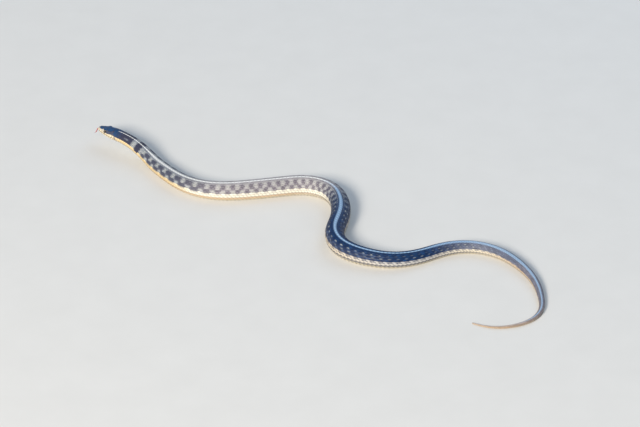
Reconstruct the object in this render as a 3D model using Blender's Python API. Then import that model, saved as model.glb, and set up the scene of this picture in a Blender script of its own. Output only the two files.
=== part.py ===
"""A garter snake at life size, crawling over the floor with its head a little raised.

A Blender 4.5 script. It models the animal along one spine that starts at the snout and ends at the
tail tip. The spine is a heading that turns through a few named bends, and every section across it is
one closed outline, as wide, as high and as flat below as the body is there. The upper head, the lower
jaw, the neck, the trunk and the tail are lofts through those sections with a thin cut between
neighbours. The eyes sit in sockets and the forked tongue comes out of a notch under the snout.

Lengths are in metres, +Z is up, and the belly lies on z = 0. Distances along the spine are counted
from the snout. Left and right are the animal's own.
"""

import bmesh
import bpy
import numpy as np

MM = 0.001

# Overall sizes
TOTAL_LENGTH = 625 * MM
HEAD_LENGTH = 27 * MM
VENT = 476 * MM
CUT = 0.3 * MM

# The spine in plan: where the snout is, which way the spine leaves it, and each bend as its start,
# its length and its turn in degrees, to the left of the way towards the tail where positive.
SNOUT_X = -182.4 * MM
SNOUT_Y = 143.2 * MM
FIRST_HEADING = -37.0
BENDS = (
    ("nape", 21 * MM, 50 * MM, -19.0),
    ("neck_curve", 70 * MM, 118 * MM, 40.0),
    ("neck_curve_core", 95 * MM, 70 * MM, 27.0),
    ("first_turn", 199 * MM, 60 * MM, -73.0),
    ("first_turn_end", 229 * MM, 72 * MM, -42.0),
    ("second_turn", 294 * MM, 60 * MM, 78.0),
    ("second_turn_end", 342 * MM, 70 * MM, 58.0),
    ("hind_arch", 405 * MM, 84 * MM, -79.0),
    ("vent_curve", 465 * MM, 94 * MM, -44.0),
    ("tail_hook", 544 * MM, 44 * MM, -61.0),
    ("tail_hook_end", 576 * MM, 56 * MM, -63.0),
)

# How far the chin stands off the floor, and the stretch over which the neck comes down to it.
CHIN_RAISE = 8.6 * MM
RAISE_START = 24 * MM
RAISE_LENGTH = 52 * MM

# How far the belly is pressed flat on the floor, as a part of the body's height.
BELLY_PRESS = 0.075

# Head sizes at each distance behind the snout: half width, crown above the mouth's level, chin below
# it, and the mouth line's own rise or dip.
HEAD_SIZES = np.array([
    (0.0, 2.30, 1.75, 1.45, 0.00),
    (2.5, 3.10, 2.40, 1.90, 0.00),
    (6.0, 3.95, 3.25, 2.45, -0.15),
    (9.5, 4.65, 4.05, 2.80, -0.35),
    (14.0, 5.30, 4.65, 3.30, -0.60),
    (18.5, 5.80, 4.80, 3.85, -0.55),
    (22.5, 5.85, 4.80, 4.35, 0.00),
    (27.0, 5.55, 4.85, 4.80, 0.00),
    (31.0, 5.50, 5.00, 5.00, 0.00),
]) * MM
SNOUT_ROUNDING = 2.2 * MM
JAW_SETBACK = 1.1 * MM
JAW_ROUNDING = 2.6 * MM

# Body sizes at each distance behind the snout: width, and height when not pressed on the floor.
BODY_SIZES = np.array([
    (31.0, 11.0, 10.0),
    (60.0, 12.5, 12.0),
    (110.0, 14.5, 14.3),
    (180.0, 16.3, 16.9),
    (290.0, 16.5, 17.1),
    (390.0, 12.8, 13.0),
    (476.0, 9.3, 9.3),
    (518.0, 6.7, 6.6),
    (562.0, 4.2, 4.1),
    (602.0, 2.2, 2.2),
    (625.0, 1.1, 1.1),
]) * MM
AXIS_SHARE = 0.5
TIP_ROUNDING = 1.2 * MM

# How boxy the outlines are: 2 is an ellipse. The crown is boxy as far back as CROWN_FLAT.
CROWN_POWER = 2.7
CROWN_FLAT = 17 * MM
CHIN_POWER = 2.3
BODY_POWER = 2.1

# The eye is a flattened ball set in the side of the head.
EYE_BACK = 10.6 * MM
EYE_UP = 1.95 * MM
EYE_INSET = 1.0 * MM
EYE_RADII = (1.30 * MM, 2.00 * MM, 1.90 * MM)
EYE_RINGS = 12
EYE_SIDES = 18

# The tongue: a flat stem that comes out of the mouth and bends down, and two tines.
TONGUE_ROOT = 2.4 * MM
TONGUE_REACH = 2.4 * MM
TONGUE_DROP = 3.4 * MM
TONGUE_HALF_WIDTH = 0.55 * MM
TONGUE_HALF_THICKNESS = 0.32 * MM
TINE_REACH = 1.9 * MM
TINE_DROP = 3.9 * MM
TINE_SPREAD = 1.15 * MM
TINE_RADIUS = 0.28 * MM
TONGUE_SIDES = 8

# Mesh fineness
RING_POINTS = 20
HEAD_RING_POINTS = 26
HEAD_STEP = 1.3 * MM
NECK_STEP = 3.6 * MM
BODY_STEP = 4.8 * MM
TAIL_STEP = 4.2 * MM
SPINE_STEP = 0.25 * MM

# The lengths that the body is parted into: node, start, end, spacing of its sections.
LENGTHS = (
    ("neck", HEAD_LENGTH, 84 * MM, NECK_STEP),
    ("trunk_1", 84 * MM, 150 * MM, BODY_STEP),
    ("trunk_2", 150 * MM, 208 * MM, BODY_STEP),
    ("trunk_3", 208 * MM, 256 * MM, BODY_STEP),
    ("trunk_4", 256 * MM, 304 * MM, BODY_STEP),
    ("trunk_5", 304 * MM, 352 * MM, BODY_STEP),
    ("trunk_6", 352 * MM, 412 * MM, BODY_STEP),
    ("trunk_7", 412 * MM, VENT, BODY_STEP),
    ("tail_base", VENT, 524 * MM, TAIL_STEP),
    ("tail_middle", 524 * MM, 574 * MM, TAIL_STEP),
    ("tail_tip", 574 * MM, TOTAL_LENGTH, TAIL_STEP),
)

BACK_COLOUR = (0.070, 0.055, 0.050, 1.0)
HEAD_COLOUR = (0.060, 0.060, 0.050, 1.0)
LIP_COLOUR = (0.620, 0.520, 0.300, 1.0)
EYE_COLOUR = (0.015, 0.012, 0.010, 1.0)
TONGUE_COLOUR = (0.450, 0.030, 0.025, 1.0)


def smooth_step(value):
    """Ease from 0 to 1 as value goes from 0 to 1, level at both ends."""
    value = np.clip(value, 0.0, 1.0)
    return value * value * (3.0 - 2.0 * value)


def smooth_through(distance, stations, values):
    """Read a smooth curve through values at stations: cubics whose slopes never overshoot."""
    gaps = np.diff(stations)
    rises = np.diff(values) / gaps
    slopes = np.zeros(len(stations))
    same_way = rises[1:] * rises[:-1] > 0
    blend = 2.0 * rises[1:] * rises[:-1] / np.where(same_way, rises[1:] + rises[:-1], 1.0)
    slopes[1:-1] = np.where(same_way, blend, 0.0)
    slopes[0] = rises[0]
    slopes[-1] = rises[-1]
    distance = np.clip(distance, stations[0], stations[-1])
    index = np.clip(np.searchsorted(stations, distance) - 1, 0, len(gaps) - 1)
    gap = gaps[index]
    part = (distance - stations[index]) / gap
    return (
        (1 + 2 * part) * (1 - part) ** 2 * values[index]
        + part * (1 - part) ** 2 * gap * slopes[index]
        + part ** 2 * (3 - 2 * part) * values[index + 1]
        + part ** 2 * (part - 1) * gap * slopes[index + 1]
    )


def heading(distance):
    """Heading of the spine in plan, in radians: the first heading plus each bend's share."""
    turned = np.full_like(distance, FIRST_HEADING)
    for _name, start, length, turn in BENDS:
        turned = turned + turn * smooth_step((distance - start) / length)
    return np.radians(turned)


def half_width(distance):
    """Half the width of the head and body."""
    head = smooth_through(distance, HEAD_SIZES[:, 0], HEAD_SIZES[:, 1])
    body = smooth_through(distance, BODY_SIZES[:, 0], BODY_SIZES[:, 1]) / 2
    return np.where(distance < HEAD_SIZES[-1, 0], head, body)


def crown_height(distance):
    """Height of the top of the head or back above the spine."""
    head = smooth_through(distance, HEAD_SIZES[:, 0], HEAD_SIZES[:, 2])
    body = smooth_through(distance, BODY_SIZES[:, 0], BODY_SIZES[:, 2]) * (1 - AXIS_SHARE)
    return np.where(distance < HEAD_SIZES[-1, 0], head, body)


def chin_depth(distance):
    """Depth of the chin or the unpressed belly below the spine."""
    head = smooth_through(distance, HEAD_SIZES[:, 0], HEAD_SIZES[:, 3])
    body = smooth_through(distance, BODY_SIZES[:, 0], BODY_SIZES[:, 2]) * AXIS_SHARE
    return np.where(distance < HEAD_SIZES[-1, 0], head, body)


def mouth_rise(distance):
    """Rise of the mouth line above the spine: a dip under the cheek, and none behind the mouth."""
    return smooth_through(distance, HEAD_SIZES[:, 0], HEAD_SIZES[:, 4])


def end_rounding(distance, setback, radius):
    """Share of the full size left near a rounded front end: a quarter circle of the radius."""
    inside = np.clip((distance - setback) / radius, 0.0, 1.0)
    return np.sqrt(1.0 - (1.0 - inside) ** 2)


def tip_rounding(distance):
    """Share of the full size left near the tail's rounded tip."""
    inside = np.clip((TOTAL_LENGTH - distance) / TIP_ROUNDING, 0.0, 1.0)
    return np.sqrt(1.0 - (1.0 - inside) ** 2)


class Spine:
    """The animal's middle line, with the way left and up across it at every distance."""

    def __init__(self):
        """Add up the heading in small steps from the snout to the tail tip."""
        count = int(round(TOTAL_LENGTH / SPINE_STEP)) + 1
        self.distance = np.linspace(0.0, TOTAL_LENGTH, count)
        turned = heading(self.distance)
        step = self.distance[1]
        east = np.cos(turned)
        north = np.sin(turned)
        self.x = SNOUT_X + np.concatenate([[0.0], np.cumsum((east[1:] + east[:-1]) / 2)]) * step
        self.y = SNOUT_Y + np.concatenate([[0.0], np.cumsum((north[1:] + north[:-1]) / 2)]) * step
        height = chin_depth(np.maximum(self.distance, HEAD_SIZES[-1, 0]))
        pressed = height * (1 - 2 * BELLY_PRESS)
        lifted = 1 - smooth_step((self.distance - RAISE_START) / RAISE_LENGTH)
        self.z = pressed + CHIN_RAISE * lifted
        self.slope = np.gradient(self.z, step)

    def frame(self, distance):
        """Give the spine's points there, and the unit vectors to the left and upwards."""
        distance = np.atleast_1d(distance)
        turned = heading(distance)
        climb = np.arctan(np.interp(distance, self.distance, self.slope))
        point = np.stack([np.interp(distance, self.distance, line) for line in (self.x, self.y, self.z)], 1)
        left = np.stack([np.sin(turned), -np.cos(turned), np.zeros_like(turned)], 1)
        rise = -np.sin(climb)
        up = np.stack([rise * np.cos(turned), rise * np.sin(turned), np.cos(climb)], 1)
        return point, left, up

    def place(self, distance, leftwards, upwards):
        """Put points at a distance, a length to the left and a length up; arrays of one shape."""
        point, left, up = self.frame(np.ravel(distance))
        offset = np.ravel(leftwards)[:, None] * left + np.ravel(upwards)[:, None] * up
        return (point + offset).reshape(np.shape(leftwards) + (3,))


def outline(angle, across, upwards, power):
    """Half outline from a superellipse: sideways and upward parts at each angle from the top."""
    side = np.sin(angle)
    rise = np.abs(np.cos(angle))
    sideways = across * np.sign(side) * np.abs(side) ** (2 / power)
    return sideways, upwards * rise ** (2 / power)


def body_rings(spine, start, end, step):
    """Closed rings across the body, pressed flat where they would pass through the floor."""
    count = max(3, int(round((end - start) / step)) + 1)
    distance = np.linspace(start, end, count)
    if end >= TOTAL_LENGTH:
        tip = TOTAL_LENGTH - TIP_ROUNDING * np.array([1.0, 0.55, 0.2, 0.03])
        distance = np.concatenate([distance[distance < tip[0] - step / 3], tip])
    angle = np.linspace(-np.pi, np.pi, RING_POINTS, endpoint=False)
    distance, angle = np.meshgrid(distance, angle, indexing="ij")
    share = tip_rounding(distance)
    top = np.cos(angle) > 0
    reach = np.where(top, crown_height(distance), chin_depth(distance)) * share
    sideways, rise = outline(angle, half_width(distance) * share, reach, BODY_POWER)
    points = spine.place(distance, sideways, np.where(top, rise, -rise))
    points[..., 2] = np.maximum(points[..., 2], 0.0)
    return points


def head_rings(spine, upper):
    """Closed rings of the upper head or the lower jaw, level along the mouth line."""
    setback = 0.0 if upper else JAW_SETBACK
    radius = SNOUT_ROUNDING if upper else JAW_ROUNDING
    rounded = setback + radius * np.array([0.015, 0.12, 0.32, 0.62])
    rear = HEAD_LENGTH - CUT / 2
    count = int(round((rear - setback - radius) / HEAD_STEP)) + 1
    distance = np.concatenate([rounded, np.linspace(setback + radius, rear, count)])
    half_turn = np.linspace(-np.pi / 2, np.pi / 2, HEAD_RING_POINTS // 2 + 1)
    distance, angle = np.meshgrid(distance, half_turn, indexing="ij")
    share = end_rounding(distance, setback, radius)
    mouth = mouth_rise(distance)
    across = half_width(distance) * share
    if upper:
        back = smooth_step((distance - CROWN_FLAT) / (HEAD_LENGTH - CROWN_FLAT))
        power = CROWN_POWER + (BODY_POWER - CROWN_POWER) * back
        sideways, rise = outline(angle, across, (crown_height(distance) - mouth - CUT / 2) * share, power)
        return spine.place(distance, sideways, mouth + CUT / 2 + rise)
    sideways, rise = outline(angle, across, (chin_depth(distance) + mouth - CUT / 2) * share, CHIN_POWER)
    return spine.place(distance, -sideways, mouth - CUT / 2 - rise)


def loft(rings):
    """Close a stack of rings, first to last, into a mesh with a fanned cap on each end."""
    stations, around, _axes = rings.shape
    caps = np.stack([rings[0].mean(axis=0), rings[-1].mean(axis=0)])
    points = np.concatenate([rings.reshape(-1, 3), caps])
    row, column = np.meshgrid(np.arange(stations - 1), np.arange(around), indexing="ij")
    after = (column + 1) % around
    walls = np.stack([row * around + column, row * around + after,
                      (row + 1) * around + after, (row + 1) * around + column], axis=-1).reshape(-1, 4)
    column = np.arange(around)
    after = (column + 1) % around
    front = np.stack([after, column, np.full(around, stations * around)], axis=1)
    last = (stations - 1) * around
    rear = np.stack([last + column, last + after, np.full(around, stations * around + 1)], axis=1)
    return points, walls.tolist() + front.tolist() + rear.tolist()


def make_material(name, colour, roughness):
    """A Principled material of one colour, with no metal in it."""
    material = bpy.data.materials.new(name)
    material.use_nodes = True
    shader = material.node_tree.nodes["Principled BSDF"]
    shader.inputs["Base Color"].default_value = colour
    shader.inputs["Roughness"].default_value = roughness
    shader.inputs["Metallic"].default_value = 0.0
    material.diffuse_color = colour
    return material


def add_solid(name, points, faces, material):
    """Make one closed, smooth-shaded object with its faces pointing out."""
    mesh = bpy.data.meshes.new(name)
    mesh.from_pydata([tuple(point) for point in points], [], faces)
    shape = bmesh.new()
    shape.from_mesh(mesh)
    bmesh.ops.recalc_face_normals(shape, faces=shape.faces)
    bmesh.ops.triangulate(shape, faces=shape.faces)
    shape.to_mesh(mesh)
    shape.free()
    mesh.shade_smooth()
    mesh.materials.append(material)
    solid = bpy.data.objects.new(name, mesh)
    bpy.context.scene.collection.objects.link(solid)
    return solid


def add_cutter(name, points, faces, material):
    """Make a guide shape that cuts its neighbours and isn't part of the animal."""
    cutter = add_solid(name, points, faces, material)
    cutter.hide_render = True
    cutter.display_type = "WIRE"
    return cutter


def combine(solid, other, operation):
    """Cut other out of solid, or join it on, as a live Boolean modifier."""
    modifier = solid.modifiers.new(other.name, "BOOLEAN")
    modifier.operation = operation
    modifier.solver = "EXACT"
    modifier.object = other


def eye_shape(spine, side, grow):
    """A flattened ball in the side of the head, larger all round by grow; side is 1 on the left."""
    point, left, up = (vector[0] for vector in spine.frame(EYE_BACK))
    back = np.cross(up, left)
    across = half_width(np.array([EYE_BACK]))[0] - EYE_INSET
    centre = point + side * across * left + EYE_UP * up
    polar = np.linspace(0.0, np.pi, EYE_RINGS + 1)[1:-1]
    turn = np.linspace(0.0, 2 * np.pi, EYE_SIDES, endpoint=False)
    polar, turn = np.meshgrid(polar, turn, indexing="ij")
    outward, along, upward = (radius + grow for radius in EYE_RADII)
    rings = (
        centre
        + (side * outward * np.cos(polar))[..., None] * left
        + (along * np.sin(polar) * np.cos(turn))[..., None] * back
        + (upward * np.sin(polar) * np.sin(turn))[..., None] * up
    )
    points, faces = loft(rings)
    points[-2] = centre + side * outward * left
    points[-1] = centre - side * outward * left
    return points, faces


def tube(line, half_widths, half_thicknesses):
    """A flat tube along a line of points, its flat sides facing up and down."""
    along = np.gradient(line, axis=0)
    along /= np.linalg.norm(along, axis=1)[:, None]
    across = np.cross(along, (0.0, 0.0, 1.0))
    across /= np.linalg.norm(across, axis=1)[:, None]
    normal = np.cross(across, along)
    turn = np.linspace(0.0, 2 * np.pi, TONGUE_SIDES, endpoint=False)
    rings = (
        line[:, None]
        + across[:, None] * (half_widths[:, None] * np.cos(turn))[..., None]
        + normal[:, None] * (half_thicknesses[:, None] * np.sin(turn))[..., None]
    )
    return loft(rings)


def tongue_stem(spine, grow):
    """The stem from inside the mouth to the fork: straight out, then bending down, wider by grow."""
    reach = np.linspace(-TONGUE_ROOT - grow, TONGUE_REACH + grow, 9)
    drop = TONGUE_DROP * np.clip(reach / TONGUE_REACH, 0.0, 1.0) ** 1.7
    point, left, up = (vector[0] for vector in spine.frame(0.0))
    forward = np.cross(left, up)
    lift = mouth_rise(np.array([0.0]))[0]
    line = point + reach[:, None] * forward + (lift - drop)[:, None] * up
    full = np.ones_like(reach)
    return tube(line, full * (TONGUE_HALF_WIDTH + grow), full * (TONGUE_HALF_THICKNESS + grow))


def tongue_tine(spine, side):
    """One tine of the fork, from just inside the stem's end, curving out and down to a blunt tip."""
    share = np.linspace(-0.22, 1.0, 7)
    ahead = TONGUE_REACH + TINE_REACH * share
    beyond = np.clip(share, 0.0, 1.0)
    drop = TONGUE_DROP + TINE_DROP * share - 0.25 * TINE_DROP * beyond ** 2
    out = side * (0.20 * MM + (TINE_SPREAD - 0.20 * MM) * beyond ** 1.4)
    point, left, up = (vector[0] for vector in spine.frame(0.0))
    forward = np.cross(left, up)
    lift = mouth_rise(np.array([0.0]))[0]
    line = point + ahead[:, None] * forward + (lift - drop)[:, None] * up + out[:, None] * left
    full = np.full(len(share), TINE_RADIUS)
    return tube(line, full, full)


def build_head(spine, materials):
    """The upper head and the lower jaw, with the eye sockets and the tongue's notch cut in them."""
    head = add_solid("head", *loft(head_rings(spine, True)), materials["crown"])
    jaw = add_solid("lower_jaw", *loft(head_rings(spine, False)), materials["lip"])
    for name, side in (("left", 1), ("right", -1)):
        socket = add_cutter("socket_" + name, *eye_shape(spine, side, CUT), materials["eye"])
        combine(head, socket, "DIFFERENCE")
        add_solid("eye_" + name, *eye_shape(spine, side, 0.0), materials["eye"])
    notch = add_cutter("tongue_notch", *tongue_stem(spine, CUT), materials["tongue"])
    combine(head, notch, "DIFFERENCE")
    combine(jaw, notch, "DIFFERENCE")


def build_tongue(spine, materials):
    """The forked tongue: its stem with the two tines joined on."""
    tongue = add_solid("tongue", *tongue_stem(spine, 0.0), materials["tongue"])
    for name, side in (("left", 1), ("right", -1)):
        tine = add_cutter("tine_" + name, *tongue_tine(spine, side), materials["tongue"])
        combine(tongue, tine, "UNION")


def build_body(spine, materials):
    """The neck, the trunk and the tail in their lengths, with a thin cut before and after each."""
    for name, start, end, step in LENGTHS:
        front = start + CUT / 2
        rear = end if end >= TOTAL_LENGTH else end - CUT / 2
        add_solid(name, *loft(body_rings(spine, front, rear, step)), materials["back"])


def main():
    """Clear the scene and model the whole animal."""
    for item in list(bpy.data.objects):
        bpy.data.objects.remove(item, do_unlink=True)
    spine = Spine()
    materials = {
        "crown": make_material("crown_skin", HEAD_COLOUR, 0.45),
        "lip": make_material("lip_skin", LIP_COLOUR, 0.45),
        "back": make_material("back_skin", BACK_COLOUR, 0.5),
        "eye": make_material("eye_clear_scale", EYE_COLOUR, 0.1),
        "tongue": make_material("tongue_flesh", TONGUE_COLOUR, 0.3),
    }
    build_head(spine, materials)
    build_tongue(spine, materials)
    build_body(spine, materials)


main()
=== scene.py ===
"""The looks of a life-size garter snake: one skin, keeled scales, head plates, eyes and tongue.

The CAD solids give the form. One skin lies a little inside them, and solid scales and plates lie over
the skin and reach out to them. Everything is placed on the form by two coordinates: the row, which runs
from the snout to the tail tip, and the turn, which runs round the body. A turn of 0 is the middle of
the back, 1 the left mouth line or flank, 2 the middle of the belly, and the right side is negative.

Lengths are in metres. Distances run along the spine from the snout. Left and right are the animal's own.
"""

import logging
import math
from dataclasses import dataclass, field
from enum import Enum

import bpy
import numpy as np
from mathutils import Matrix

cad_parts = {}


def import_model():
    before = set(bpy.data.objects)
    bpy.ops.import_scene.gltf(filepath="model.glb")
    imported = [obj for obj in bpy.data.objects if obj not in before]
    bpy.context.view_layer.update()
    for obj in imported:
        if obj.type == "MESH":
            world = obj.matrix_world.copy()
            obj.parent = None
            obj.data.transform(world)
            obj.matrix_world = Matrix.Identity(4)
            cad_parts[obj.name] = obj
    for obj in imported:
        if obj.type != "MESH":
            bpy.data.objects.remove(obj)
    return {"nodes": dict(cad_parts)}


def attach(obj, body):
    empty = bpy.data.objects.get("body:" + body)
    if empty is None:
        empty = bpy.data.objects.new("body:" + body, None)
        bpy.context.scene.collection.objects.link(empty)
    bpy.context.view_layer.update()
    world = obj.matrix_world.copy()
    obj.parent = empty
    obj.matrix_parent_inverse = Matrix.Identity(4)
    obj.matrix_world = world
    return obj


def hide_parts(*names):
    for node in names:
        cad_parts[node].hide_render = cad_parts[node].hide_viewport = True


logging.basicConfig(level=logging.INFO, format="%(message)s")
LOG = logging.getLogger("garter_snake")

MM = 0.001
SEED = 7

# The form's driving sizes, as the solids have them.
TOTAL_LENGTH = 625 * MM
HEAD_LENGTH = 27 * MM
VENT = 476 * MM
CUT = 0.3 * MM
SNOUT = (-182.4 * MM, 143.2 * MM)
FIRST_HEADING = -37.0
BENDS = (
    ("nape", 21 * MM, 50 * MM, -19.0),
    ("neck_curve", 70 * MM, 118 * MM, 40.0),
    ("neck_curve_core", 95 * MM, 70 * MM, 27.0),
    ("first_turn", 199 * MM, 60 * MM, -73.0),
    ("first_turn_end", 229 * MM, 72 * MM, -42.0),
    ("second_turn", 294 * MM, 60 * MM, 78.0),
    ("second_turn_end", 342 * MM, 70 * MM, 58.0),
    ("hind_arch", 405 * MM, 84 * MM, -79.0),
    ("vent_curve", 465 * MM, 94 * MM, -44.0),
    ("tail_hook", 544 * MM, 44 * MM, -61.0),
    ("tail_hook_end", 576 * MM, 56 * MM, -63.0),
)
CHIN_RAISE = 8.6 * MM
RAISE_START = 24 * MM
RAISE_LENGTH = 52 * MM
BELLY_PRESS = 0.075
# Distance, half width, crown above the mouth's level, chin below it, and the mouth line's rise.
HEAD_SIZES = MM * np.array([
    (0.0, 2.30, 1.75, 1.45, 0.00),
    (2.5, 3.10, 2.40, 1.90, 0.00),
    (6.0, 3.95, 3.25, 2.45, -0.15),
    (9.5, 4.65, 4.05, 2.80, -0.35),
    (14.0, 5.30, 4.65, 3.30, -0.60),
    (18.5, 5.80, 4.80, 3.85, -0.55),
    (22.5, 5.85, 4.80, 4.35, 0.00),
    (27.0, 5.55, 4.85, 4.80, 0.00),
    (31.0, 5.50, 5.00, 5.00, 0.00),
])
SNOUT_ROUNDING = 2.2 * MM
JAW_SETBACK = 1.1 * MM
JAW_ROUNDING = 2.6 * MM
# Distance, width, and height when not pressed on the floor.
BODY_SIZES = MM * np.array([
    (31.0, 11.0, 10.0),
    (60.0, 12.5, 12.0),
    (110.0, 14.5, 14.3),
    (180.0, 16.3, 16.9),
    (290.0, 16.5, 17.1),
    (390.0, 12.8, 13.0),
    (476.0, 9.3, 9.3),
    (518.0, 6.7, 6.6),
    (562.0, 4.2, 4.1),
    (602.0, 2.2, 2.2),
    (625.0, 1.1, 1.1),
])
TIP_ROUNDING = 1.2 * MM
CROWN_POWER = 2.7
CROWN_FLAT = 17 * MM
CHIN_POWER = 2.3
BODY_POWER = 2.1
MOUTH_CORNER = 21.6 * MM
EYE_BACK = 10.6 * MM
EYE_UP = 2.05 * MM
EYE_INSET = 1.0 * MM
EYE_OPENING = (1.62 * MM, 1.46 * MM)

FLESH_NODES = (
    "head", "lower_jaw", "neck", "trunk_1", "trunk_2", "trunk_3", "trunk_4", "trunk_5", "trunk_6",
    "trunk_7", "tail_base", "tail_middle", "tail_tip",
)

# Rows of scales below the lattice's own: one each side under the tail, and three under the throat.
UNDER_TAIL = 0
THROAT_ROWS = (-1, -2, -3)
THROAT_START = 15.5 * MM
THROAT_END = 28.5 * MM

Array = np.ndarray


def smooth_step(value: Array) -> Array:
    """Ease from 0 to 1 as value goes from 0 to 1, level at both ends."""
    value = np.clip(value, 0.0, 1.0)
    return value * value * (3.0 - 2.0 * value)


def ramp(value: Array, start: float, end: float) -> Array:
    """Ease from 0 at start to 1 at end."""
    return smooth_step((np.asarray(value) - start) / (end - start))


def bump(value: Array, centre: float, reach: float) -> Array:
    """A smooth hill: 1 at the centre and 0 from the reach outwards, on both sides."""
    return 1.0 - smooth_step(np.abs(np.asarray(value) - centre) / reach)


def unit(vectors: Array) -> Array:
    """The same vectors with a length of 1; one without a length stays as it is."""
    return vectors / np.maximum(np.linalg.norm(vectors, axis=-1, keepdims=True), 1e-15)


def smooth_through(distance: Array, stations: Array, values: Array) -> Array:
    """Read a smooth curve through values at stations.

    Each stretch is a cubic. Its slope at an inner station is the harmonic mean of the rises on both
    sides, or level where they differ in sign, so the curve never overshoots.

    Args:
        distance: where to read the curve.
        stations: rising places at which the values hold.
        values: the value at each station.

    Returns:
        The curve's value at each distance.
    """
    gaps = np.diff(stations)
    rises = np.diff(values) / gaps
    slopes = np.zeros(len(stations))
    same_way = rises[1:] * rises[:-1] > 0
    blend = 2.0 * rises[1:] * rises[:-1] / np.where(same_way, rises[1:] + rises[:-1], 1.0)
    slopes[1:-1] = np.where(same_way, blend, 0.0)
    slopes[0] = rises[0]
    slopes[-1] = rises[-1]
    distance = np.clip(distance, stations[0], stations[-1])
    index = np.clip(np.searchsorted(stations, distance) - 1, 0, len(gaps) - 1)
    gap = gaps[index]
    part = (distance - stations[index]) / gap
    return (
        (1 + 2 * part) * (1 - part) ** 2 * values[index]
        + part * (1 - part) ** 2 * gap * slopes[index]
        + part ** 2 * (3 - 2 * part) * values[index + 1]
        + part ** 2 * (part - 1) * gap * slopes[index + 1]
    )


def heading(distance: Array) -> Array:
    """Heading of the spine in plan, in radians: the first heading plus each bend's share."""
    turned = np.full_like(distance, FIRST_HEADING)
    for _name, start, length, turn in BENDS:
        turned = turned + turn * smooth_step((distance - start) / length)
    return np.radians(turned)


def head_or_body(distance: Array, head_column: int, body_column: int) -> Array:
    """A size from the head's list in front of its last station, and half the body's size behind it."""
    head = smooth_through(distance, HEAD_SIZES[:, 0], HEAD_SIZES[:, head_column])
    body = smooth_through(distance, BODY_SIZES[:, 0], BODY_SIZES[:, body_column]) / 2
    return np.where(distance < HEAD_SIZES[-1, 0], head, body)


def half_width(distance: Array) -> Array:
    """Half the width of the head and body."""
    return head_or_body(distance, 1, 1)


def crown_height(distance: Array) -> Array:
    """Height of the top of the head or back above the spine."""
    return head_or_body(distance, 2, 2)


def chin_depth(distance: Array) -> Array:
    """Depth of the chin or the unpressed belly below the spine."""
    return head_or_body(distance, 3, 2)


def mouth_rise(distance: Array) -> Array:
    """Rise of the mouth line above the spine."""
    return smooth_through(distance, HEAD_SIZES[:, 0], HEAD_SIZES[:, 4])


def lip_gap(distance: Array) -> Array:
    """Height of the thin opening between the lips, which closes behind the mouth's corner."""
    return CUT * (1.0 - ramp(distance, MOUTH_CORNER, MOUTH_CORNER + 2 * MM))


@dataclass
class Spine:
    """The animal's middle line, with the way left and up across it at every distance."""

    step: float = 0.25 * MM
    distance: Array = field(init=False)
    line: Array = field(init=False)
    slope: Array = field(init=False)

    def __post_init__(self) -> None:
        """Add up the unit steps along the heading from the snout to the tail tip."""
        count = int(round(TOTAL_LENGTH / self.step)) + 1
        self.distance = np.linspace(0.0, TOTAL_LENGTH, count)
        turned = heading(self.distance)
        gap = self.distance[1]
        steps = np.stack([np.cos(turned), np.sin(turned)], 1)
        plan = np.concatenate([np.zeros((1, 2)), np.cumsum((steps[1:] + steps[:-1]) / 2, axis=0)]) * gap
        height = chin_depth(np.maximum(self.distance, HEAD_SIZES[-1, 0])) * (1 - 2 * BELLY_PRESS)
        height = height + CHIN_RAISE * (1 - smooth_step((self.distance - RAISE_START) / RAISE_LENGTH))
        self.line = np.column_stack([plan + np.array(SNOUT), height])
        self.slope = np.gradient(height, gap)

    def frame(self, distance: Array) -> tuple[Array, Array, Array]:
        """Give the spine's points, and the unit vectors to the left and upwards.

        Args:
            distance: distances along the spine, of any shape.

        Returns:
            Points, left vectors and up vectors, each with a last axis of 3.
        """
        turned = heading(distance)
        climb = np.arctan(np.interp(distance, self.distance, self.slope))
        point = np.stack([np.interp(distance, self.distance, self.line[:, axis]) for axis in range(3)], -1)
        left = np.stack([np.sin(turned), -np.cos(turned), np.zeros_like(turned)], -1)
        rise = -np.sin(climb)
        up = np.stack([rise * np.cos(turned), rise * np.sin(turned), np.cos(climb)], -1)
        return point, left, up

    def place(self, distance: Array, leftwards: Array, upwards: Array) -> Array:
        """Put points at a distance, a length to the left and a length up, all of one shape."""
        point, left, up = self.frame(distance)
        return point + leftwards[..., None] * left + upwards[..., None] * up


def nose_distance(row: Array, setback: float, radius: float, merge: float = 12 * MM) -> Array:
    """Distance of a row behind the snout: a quarter circle over the nose, then a line to the merge.

    Args:
        row: the row coordinate, which is the length along the surface at the nose.
        setback: how far the nose starts behind the snout.
        radius: radius of the quarter circle.
        merge: where the row and the distance become the same.

    Returns:
        The distance along the spine of each row.
    """
    quarter = radius * math.pi / 2
    round_part = setback + radius * (1 - np.cos(np.minimum(row, quarter) / radius))
    straight = np.interp(row, [quarter, merge, 1.0], [setback + radius, merge, 1.0])
    return np.where(row < quarter, round_part, straight)


def resample(lines: Array, columns: int) -> tuple[Array, Array]:
    """Give each line of points evenly spaced points, all lines at once.

    The length along each line is scaled to 1 and raised by the line's number, so that one rising list
    holds them all and one interpolation reads them.

    Args:
        lines: an array of lines, points and axes.
        columns: the number of steps wanted on each line.

    Returns:
        The resampled lines, and each line's length.
    """
    count = len(lines)
    steps = np.linalg.norm(np.diff(lines, axis=1), axis=2)
    along = np.concatenate([np.zeros((count, 1)), np.cumsum(steps, axis=1)], axis=1)
    length = along[:, -1].copy()
    scaled = along / np.maximum(length, 1e-12)[:, None] * 0.999 + np.arange(count)[:, None]
    wanted = np.linspace(0, 0.999, columns + 1)[None] + np.arange(count)[:, None]
    read = [np.interp(wanted, scaled.ravel(), lines[..., axis].ravel()) for axis in range(lines.shape[2])]
    return np.stack(read, axis=-1), length


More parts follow.
